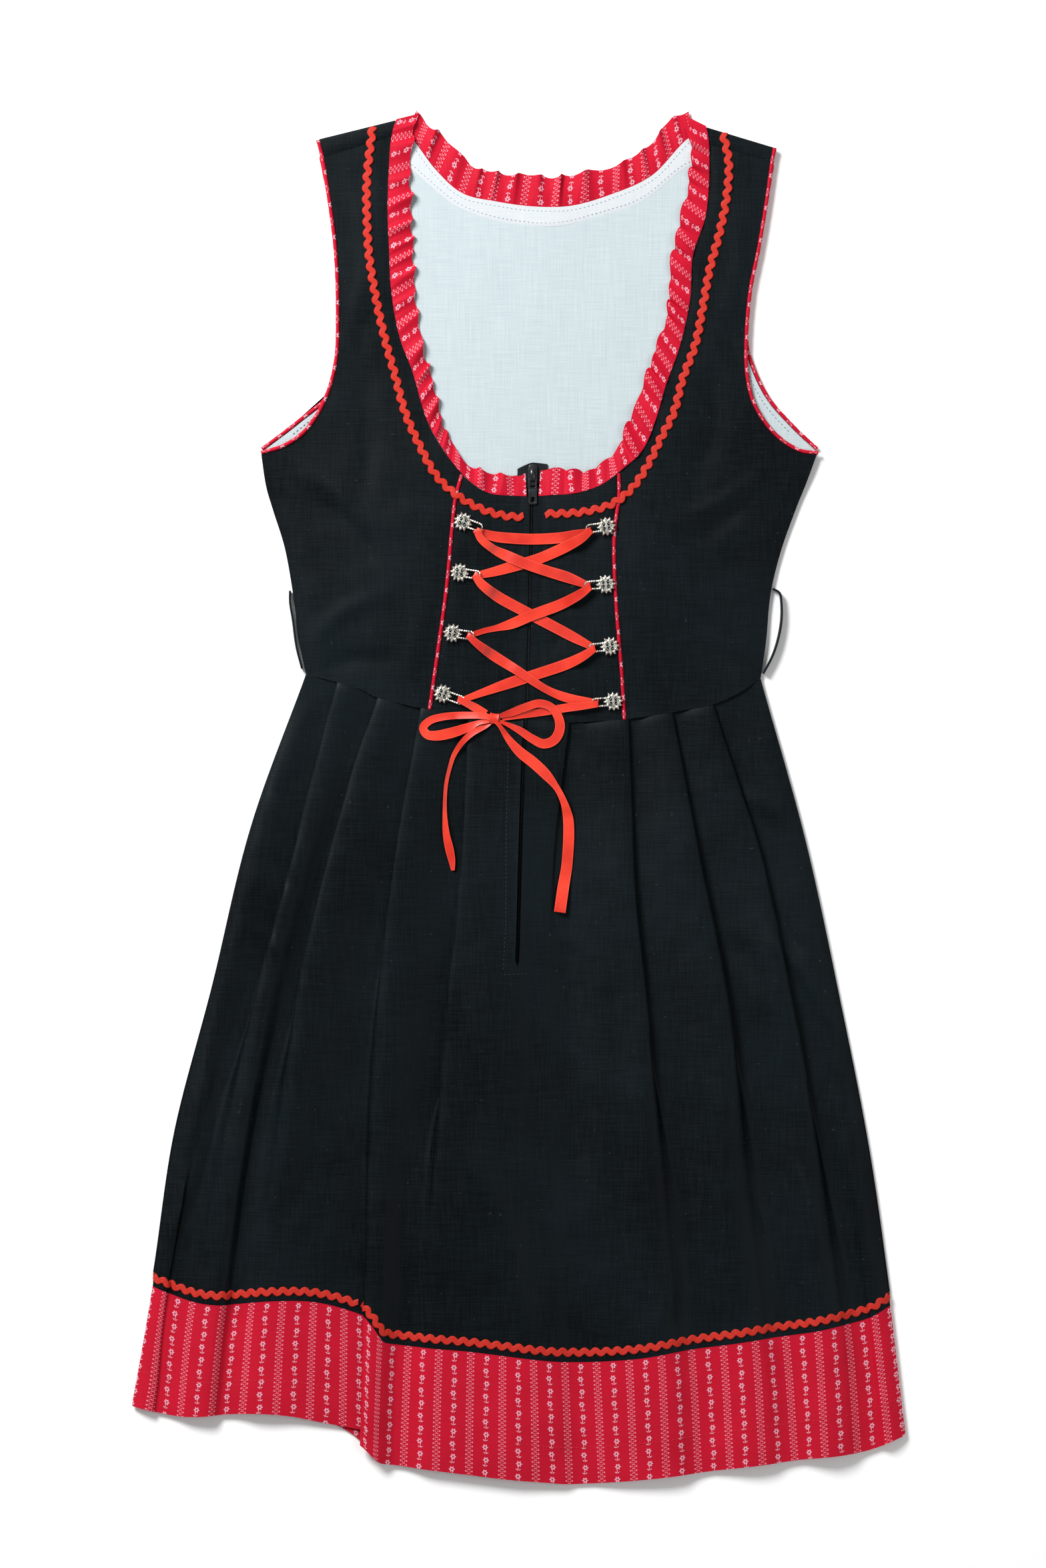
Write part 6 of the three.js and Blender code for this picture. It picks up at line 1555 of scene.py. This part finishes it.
# The zip: tape, two rows of coil teeth, slider and pull tab. The tape's ends slope off at the top.
TAPE_HALF = 10.8
tape_low, tape_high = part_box("zip_tape")
tape_z = (tape_low.z + tape_high.z) / 2 / MM
tape_y = np.linspace(tape_low.y / MM + 0.2, tape_high.y / MM - 0.2, 90)
tape_x = x_at(ZIP_LINE, tape_y)
near_top = np.clip((tape_y - tape_y[-1]) / 14 + 1, 0, 1)
columns = []
for q in np.linspace(-TAPE_HALF, TAPE_HALF, 13):
    slope = 4.6 if q < 0 else 1.2
    down = near_top * (2.6 + slope * (abs(q) / TAPE_HALF) ** 1.3)
    columns.append(np.stack([tape_x + q, tape_y - down, np.full_like(tape_y, tape_z)], axis=1))
grid = np.stack(columns, axis=1)
cloth("zip_tape", [(grid, cloth_uv(grid))], THIN_WALL, ZIP_CLOTH, ["zip_tape"])

chain_low, chain_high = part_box("zip_chain")
chain_z = (chain_low.z + chain_high.z) / 2 / MM
teeth_points = []
teeth_faces = []
coil_y = np.arange(chain_low.y / MM + 0.6, chain_high.y / MM - 0.4, 0.78)
for number, y in enumerate(coil_y):
    sign = 1 if number % 2 else -1
    x = float(x_at(ZIP_LINE, y))
    start = len(teeth_points)
    for t, r in ((-0.15, 0.28), (0.15, 0.36), (0.6, 0.34), (0.95, 0.26)):
        for j in range(6):
            angle = j * math.pi / 3
            teeth_points.append((x + sign * t, y + 0.95 * r * math.cos(angle),
                                 chain_z + 1.55 * r * math.sin(angle)))
    for i in range(3):
        for j in range(6):
            a0 = start + i * 6 + j
            a1 = start + i * 6 + (j + 1) % 6
            quad = (a0, a1, a1 + 6, a0 + 6)
            teeth_faces.append(quad if sign > 0 else quad[::-1])
    cap = tuple(start + j for j in range(6))
    far = tuple(start + 18 + j for j in range(6))
    teeth_faces.append(cap[::-1] if sign > 0 else cap)
    teeth_faces.append(far if sign > 0 else far[::-1])
coil = make_mesh("zip_coil_teeth", teeth_points, teeth_faces)
smooth(coil, 60)
finish_piece(coil, ZIP_METAL, ["zip_chain"])


# Rounds the sharp edges of a metal piece
def bevelled(obj, width, segments=3):
    select_only(obj)
    edge = obj.modifiers.new("edges", "BEVEL")
    edge.width = width * MM
    edge.segments = segments
    edge.limit_method = "ANGLE"
    edge.angle_limit = math.radians(35)
    bpy.ops.object.modifier_apply(modifier=edge.name)
    smooth(obj, 40)
    return obj


# A flat plate of a given outline, with its edges bevelled
def plate(name, outline, z0, z1, bevel):
    count = len(outline)
    points = [(x, y, z0) for x, y in outline] + [(x, y, z1) for x, y in outline]
    faces = [tuple(range(count))[::-1], tuple(range(count, 2 * count))]
    faces += [(k, (k + 1) % count, (k + 1) % count + count, k + count) for k in range(count)]
    obj = make_mesh(name, points, faces)
    set_outwards(obj)
    return bevelled(obj, bevel)


slider_low, slider_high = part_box("zip_slider")
slider_x = (slider_low.x + slider_high.x) / 2 / MM
slider_half = (slider_high.x - slider_low.x) / 2 / MM
bottom_y = slider_low.y / MM
top_y = slider_high.y / MM
base_z = slider_low.z / MM
plate_top = base_z + 2.1
# The right half of the slider's outline: share of its half width, and y
slider_side = [(0.6, bottom_y), (0.86, bottom_y + 0.9), (0.98, bottom_y + 2.6), (1, bottom_y + 5),
    (1, top_y - 4.2), (0.93, top_y - 2.4), (0.72, top_y - 0.9), (0.34, top_y - 0.1)]
outline = [(slider_x + q * slider_half, y) for q, y in slider_side]
outline += [(2 * slider_x - x, y) for x, y in outline[::-1]]
slider_top_plate = plate("zip_slider_top_plate", outline, base_z + 1.25, plate_top, 0.3)
slider_low_plate = plate("zip_slider_lower_plate", outline, base_z, base_z + 0.6, 0.25)
finish_piece(slider_top_plate, ZIP_METAL, ["zip_slider"])
finish_piece(slider_low_plate, ZIP_METAL)
post_outline = [(slider_x - 0.9, top_y - 5.5), (slider_x + 0.9, top_y - 5.5),
    (slider_x + 0.9, top_y - 1.4), (slider_x - 0.9, top_y - 1.4)]
post = plate("zip_slider_post", post_outline, base_z + 0.3, plate_top - 0.4, 0.25)
finish_piece(post, ZIP_METAL)

# The bridge: an arch with a flat section, under which the tab's bar lies
BRIDGE_SECTION = [(-1, -0.3), (-0.75, -0.42), (0.75, -0.42), (1, -0.3), (1, 0.2), (0.7, 0.42), (-0.7, 0.42),
    (-1, 0.2)]
BRIDGE_HALF = 1.35
share = np.linspace(0, 1, 25)
arch_rise = 3.0 * np.maximum(0, np.sin(math.pi * share)) ** 0.42
arch_line = np.stack([np.full(25, slider_x), 226.5 + 9.6 * share, plate_top - 0.35 + arch_rise], axis=1)
way = direction_of(arch_line)
rings = []
for k, at in enumerate(arch_line):
    up = np.array([0, -way[k, 2], way[k, 1]])
    rings.append([at + np.array([a, 0, 0]) * BRIDGE_HALF + up * b for a, b in BRIDGE_SECTION])
tube("zip_slider_bridge", np.array(rings), arch_line, ZIP_METAL)

# The pull tab hangs in the bridge and turns on its bar
pull_low, pull_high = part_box("zip_pull")
pull_x = (pull_low.x + pull_high.x) / 2 / MM
pull_half = (pull_high.x - pull_low.x) / 2 / MM
pull_bottom = pull_low.y / MM


# A part of the tab, as a plate with an opening
def ring_plate(name, outer, inner):
    count = len(outer)
    points = [(x, y, plate_top + z) for z in (0.55, 1.6) for x, y in outer + inner]
    faces = []
    for k in range(count):
        n = (k + 1) % count
        faces.append((k, n, n + count, k + count)[::-1])
        faces.append((k + 2 * count, n + 2 * count, n + 3 * count, k + 3 * count))
        faces.append((k, n, n + 2 * count, k + 2 * count))
        faces.append((k + count, n + count, n + 3 * count, k + 3 * count)[::-1])
    obj = make_mesh(name, points, faces)
    set_outwards(obj)
    return bevelled(obj, 0.18, 2)


# The outline of a rectangle with round corners
def rounded(x0, x1, y0, y1, radius, steps=5):
    out = []
    for cx, cy, first in ((x1 - radius, y1 - radius, 0), (x0 + radius, y1 - radius, 90),
                          (x0 + radius, y0 + radius, 180), (x1 - radius, y0 + radius, 270)):
        for k in range(steps + 1):
            angle = math.radians(first + 90 * k / steps)
            out.append((cx + radius * math.cos(angle), cy + radius * math.sin(angle)))
    return out


pull_left = pull_x - pull_half
pull_right = pull_x + pull_half
upper_frame = ring_plate("zip_pull_upper_frame", rounded(pull_left, pull_right, 220.6, 228.7, 0.8),
                         rounded(pull_left + 1.1, pull_right - 1.1, 222.0, 227.5, 0.5))
finish_piece(upper_frame, ZIP_METAL, ["zip_pull"], body="tab")
lower_frame = ring_plate("zip_pull_plate", rounded(pull_left, pull_right, pull_bottom, 221.2, 1.2),
                         rounded(pull_x - 1.5, pull_x + 1.5, pull_bottom + 1.4, pull_bottom + 5.2, 0.7))
finish_piece(lower_frame, ZIP_METAL, body="tab")


# The hooks' cast stars. Each ring of the star is given as a share of the rim, a fixed radius and a height.
STAR_RINGS = [(1.0, 0.0, 0.1), (1.0, 0.0, 0.5), (0.94, 0.0, 0.8), (0.8, 0.0, 1.1), (0.68, 0.0, 1.3),
    (0.0, 4.0, 1.15), (0.0, 3.75, 0.62), (0.0, 3.55, 0.62), (0.0, 3.3, 1.12), (0.0, 2.8, 1.22),
    (0.0, 1.6, 1.1), (0.0, 0.6, 1.25)]
HOLE_RINGS = [(0.95, 2.32), (0.95, 2.49), (0.8, 2.51), (0.62, 2.46), (0.3, 2.44)]
STAR_ANGLES = np.linspace(0, 2 * math.pi, 144, endpoint=False)


# Twelve petals round a rim, long and short by turns, on a round base
def hook_star(place, star, turn, seat):
    petals = 1 - np.abs(((STAR_ANGLES - turn) * 12 / (2 * math.pi) + 0.5) % 1 - 0.5) * 2
    long_petal = 0.5 + 0.5 * np.cos(6 * (STAR_ANGLES - turn))
    rim = 4.7 + (2.35 + 0.4 * long_petal) * petals ** 0.8
    rings = []
    for share, fixed, z in STAR_RINGS:
        radius = rim * share + fixed
        groove = 0.55 * (petals - 0.5) if share > 0.6 and z > 0.6 else 0
        rings.append(np.stack([star[0] + radius * np.cos(STAR_ANGLES), star[1] + radius * np.sin(STAR_ANGLES),
                               np.full(144, seat + 1.25 + z) + groove], axis=1))
    rings = np.array(rings)
    tube(f"hook_star_{place}", rings, rings.mean(axis=1), SILVER, [f"hook_{place}"])
    base = [[(star[0] + 4.0 * math.cos(a), star[1] + 4.0 * math.sin(a), seat + z) for a in STAR_ANGLES[::4]]
            for z in (0.0, 1.5)]
    tube(f"hook_base_{place}", np.array(base), np.array([[*star, seat], [*star, seat + 1.5]]), SILVER)


# The four sewing holes show dark, with black thread in them
def hook_holes(place, star, turn, seat):
    for number, (hole_x, hole_y) in enumerate(STAR_HOLES):
        x = star[0] + hole_x * math.cos(turn) - hole_y * math.sin(turn)
        y = star[1] + hole_x * math.sin(turn) + hole_y * math.cos(turn)
        rings = np.array([[(x + 1.05 * radius * math.cos(a), y + 1.5 * radius * math.sin(a), seat + z)
                           for a in STAR_ANGLES[::6]] for radius, z in HOLE_RINGS])
        tube(f"hook_hole_{place}_{number + 1}", rings, rings.mean(axis=1), BLACK)


# The wire loop: two twisted wires along a long loop from the star to its tip
def hook_wires(place, star, turn, reach, seat):
    half_width = 2.75
    bend = reach - half_width
    straight = np.linspace(4.6, bend, 22)
    route = [(x, half_width, 2.15) for x in straight]
    for angle in np.linspace(math.pi / 2, -math.pi / 2, 17)[1:-1]:
        route.append((bend + half_width * math.cos(angle), half_width * math.sin(angle), 2.15))
    route = np.array(route + [(x, -half_width, 2.15) for x in straight[::-1]])
    known = along_line(route)
    at = np.linspace(0, known[-1], 150)
    route = read_at(at, known, route)
    side = flat_across(route)
    spin = np.array([[math.cos(turn), math.sin(turn), 0], [-math.sin(turn), math.cos(turn), 0], [0, 0, 1]])
    for strand in (0, 1):
        twist = at * 2 * math.pi / 3.4 + strand * math.pi
        line = route + side * (0.3 * np.cos(twist))[:, None]
        line[:, 2] += 0.3 * np.sin(twist)
        way = direction_of(line)
        a_way = unit(np.cross(way, [0, 0, 1.0]))
        b_way = np.cross(a_way, way)
        rings = np.stack([line + (a_way * math.cos(q) + b_way * math.sin(q)) * 0.4
                          for q in np.linspace(0, 2 * math.pi, 7)[:-1]], axis=1)
        centre = np.array([*star, seat])
        tube(f"hook_wire_{place}_{strand + 1}", rings @ spin + centre, line @ spin + centre, SILVER)


for place, hook in HOOKS.items():
    star = hook["star"]
    tip = hook["tip"]
    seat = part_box(f"hook_{place}")[0].z / MM
    turn = math.atan2(tip[1] - star[1], tip[0] - star[0])
    hook_star(place, star, turn, seat)
    hook_holes(place, star, turn, seat)
    hook_wires(place, star, turn, math.dist(star, tip), seat)

# Red topstitching on the hem band, and black stitches round the zip placket and along the armholes
for side, part in (("left", 0), ("right", 1)):
    row = skirt_grid([1 + BAND * 0.7], part)[0][:, :2]
    kept = row[row[:, 0] < hem_edge - 5] if part == 0 else row[row[:, 0] > hem_edge + 2]
    ordered = [kept[0]]
    for point in kept[1:]:
        if point[0] > ordered[-1][0] + 0.4:
            ordered.append(point)
    stitches(f"hem_topstitch_{side}", ordered, 3.0, 0.72, on_front, RED_THREAD, 0.19)
placket = [(-6.96, 54.72), (-8.88, -26.88), (-9.36, -89.28), (-11.28, -127.68)]
placket_end = [(-11.28, -127.68), (9.84, -127.18)]
stitches("placket_stitches", spaced(placket, 120), 3.1, 0.6, on_front, BLACK_THREAD, 0.18)
stitches("placket_end_stitches", spaced(placket_end, 30), 3.1, 0.6, on_front, BLACK_THREAD, 0.18)
for side, arm in (("left", BACK_ARMHOLE_LEFT), ("right", BACK_ARMHOLE_RIGHT)):
    sign = 1 if side == "left" else -1
    line = moved(spaced(arm, 80), -sign * 6.2)[8:40]
    stitches(f"armhole_stitches_{side}", line, 3.2, 0.5, on_lining, BLACK_THREAD, 0.2)

# Studio: a white surface, a broad soft light from the upper left, a weak one from the right and even light
# all round
bpy.ops.mesh.primitive_plane_add(size=6)
floor = bpy.context.active_object
floor.name = "studio_floor"
floor.location.z = -0.0008
floor_finish = Finish("studio_white", "studio")
floor_finish.set(Base_Color=(0.97, 0.97, 0.97), Roughness=0.9, Specular_IOR_Level=0.2)
floor.data.materials.append(floor_finish.material)
select_only(floor)
bpy.ops.object.transform_apply(location=True)
floor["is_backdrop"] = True


# A round soft light that points at the middle of the dress
def soft_light(name, place, size, power):
    data = bpy.data.lights.new(name, "AREA")
    data.shape = "DISK"
    data.size = size
    data.energy = power
    obj = bpy.data.objects.new(name, data)
    obj.location = place
    obj.rotation_euler = (-Vector(place)).to_track_quat("-Z", "Y").to_euler()
    bpy.context.scene.collection.objects.link(obj)


soft_light("key_light", (-1.2, 1.5, 1.6), 1.1, 96)
soft_light("fill_light", (1.7, -0.5, 1.9), 1.6, 14)
world = bpy.data.worlds.new("studio_light")
world.use_nodes = True
world.node_tree.nodes["Background"].inputs[0].default_value = (1, 1, 1, 1)
world.node_tree.nodes["Background"].inputs[1].default_value = 0.3
bpy.context.scene.world = world
bpy.context.scene.view_settings.view_transform = "Standard"
bpy.context.scene.view_settings.look = "None"

low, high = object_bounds()
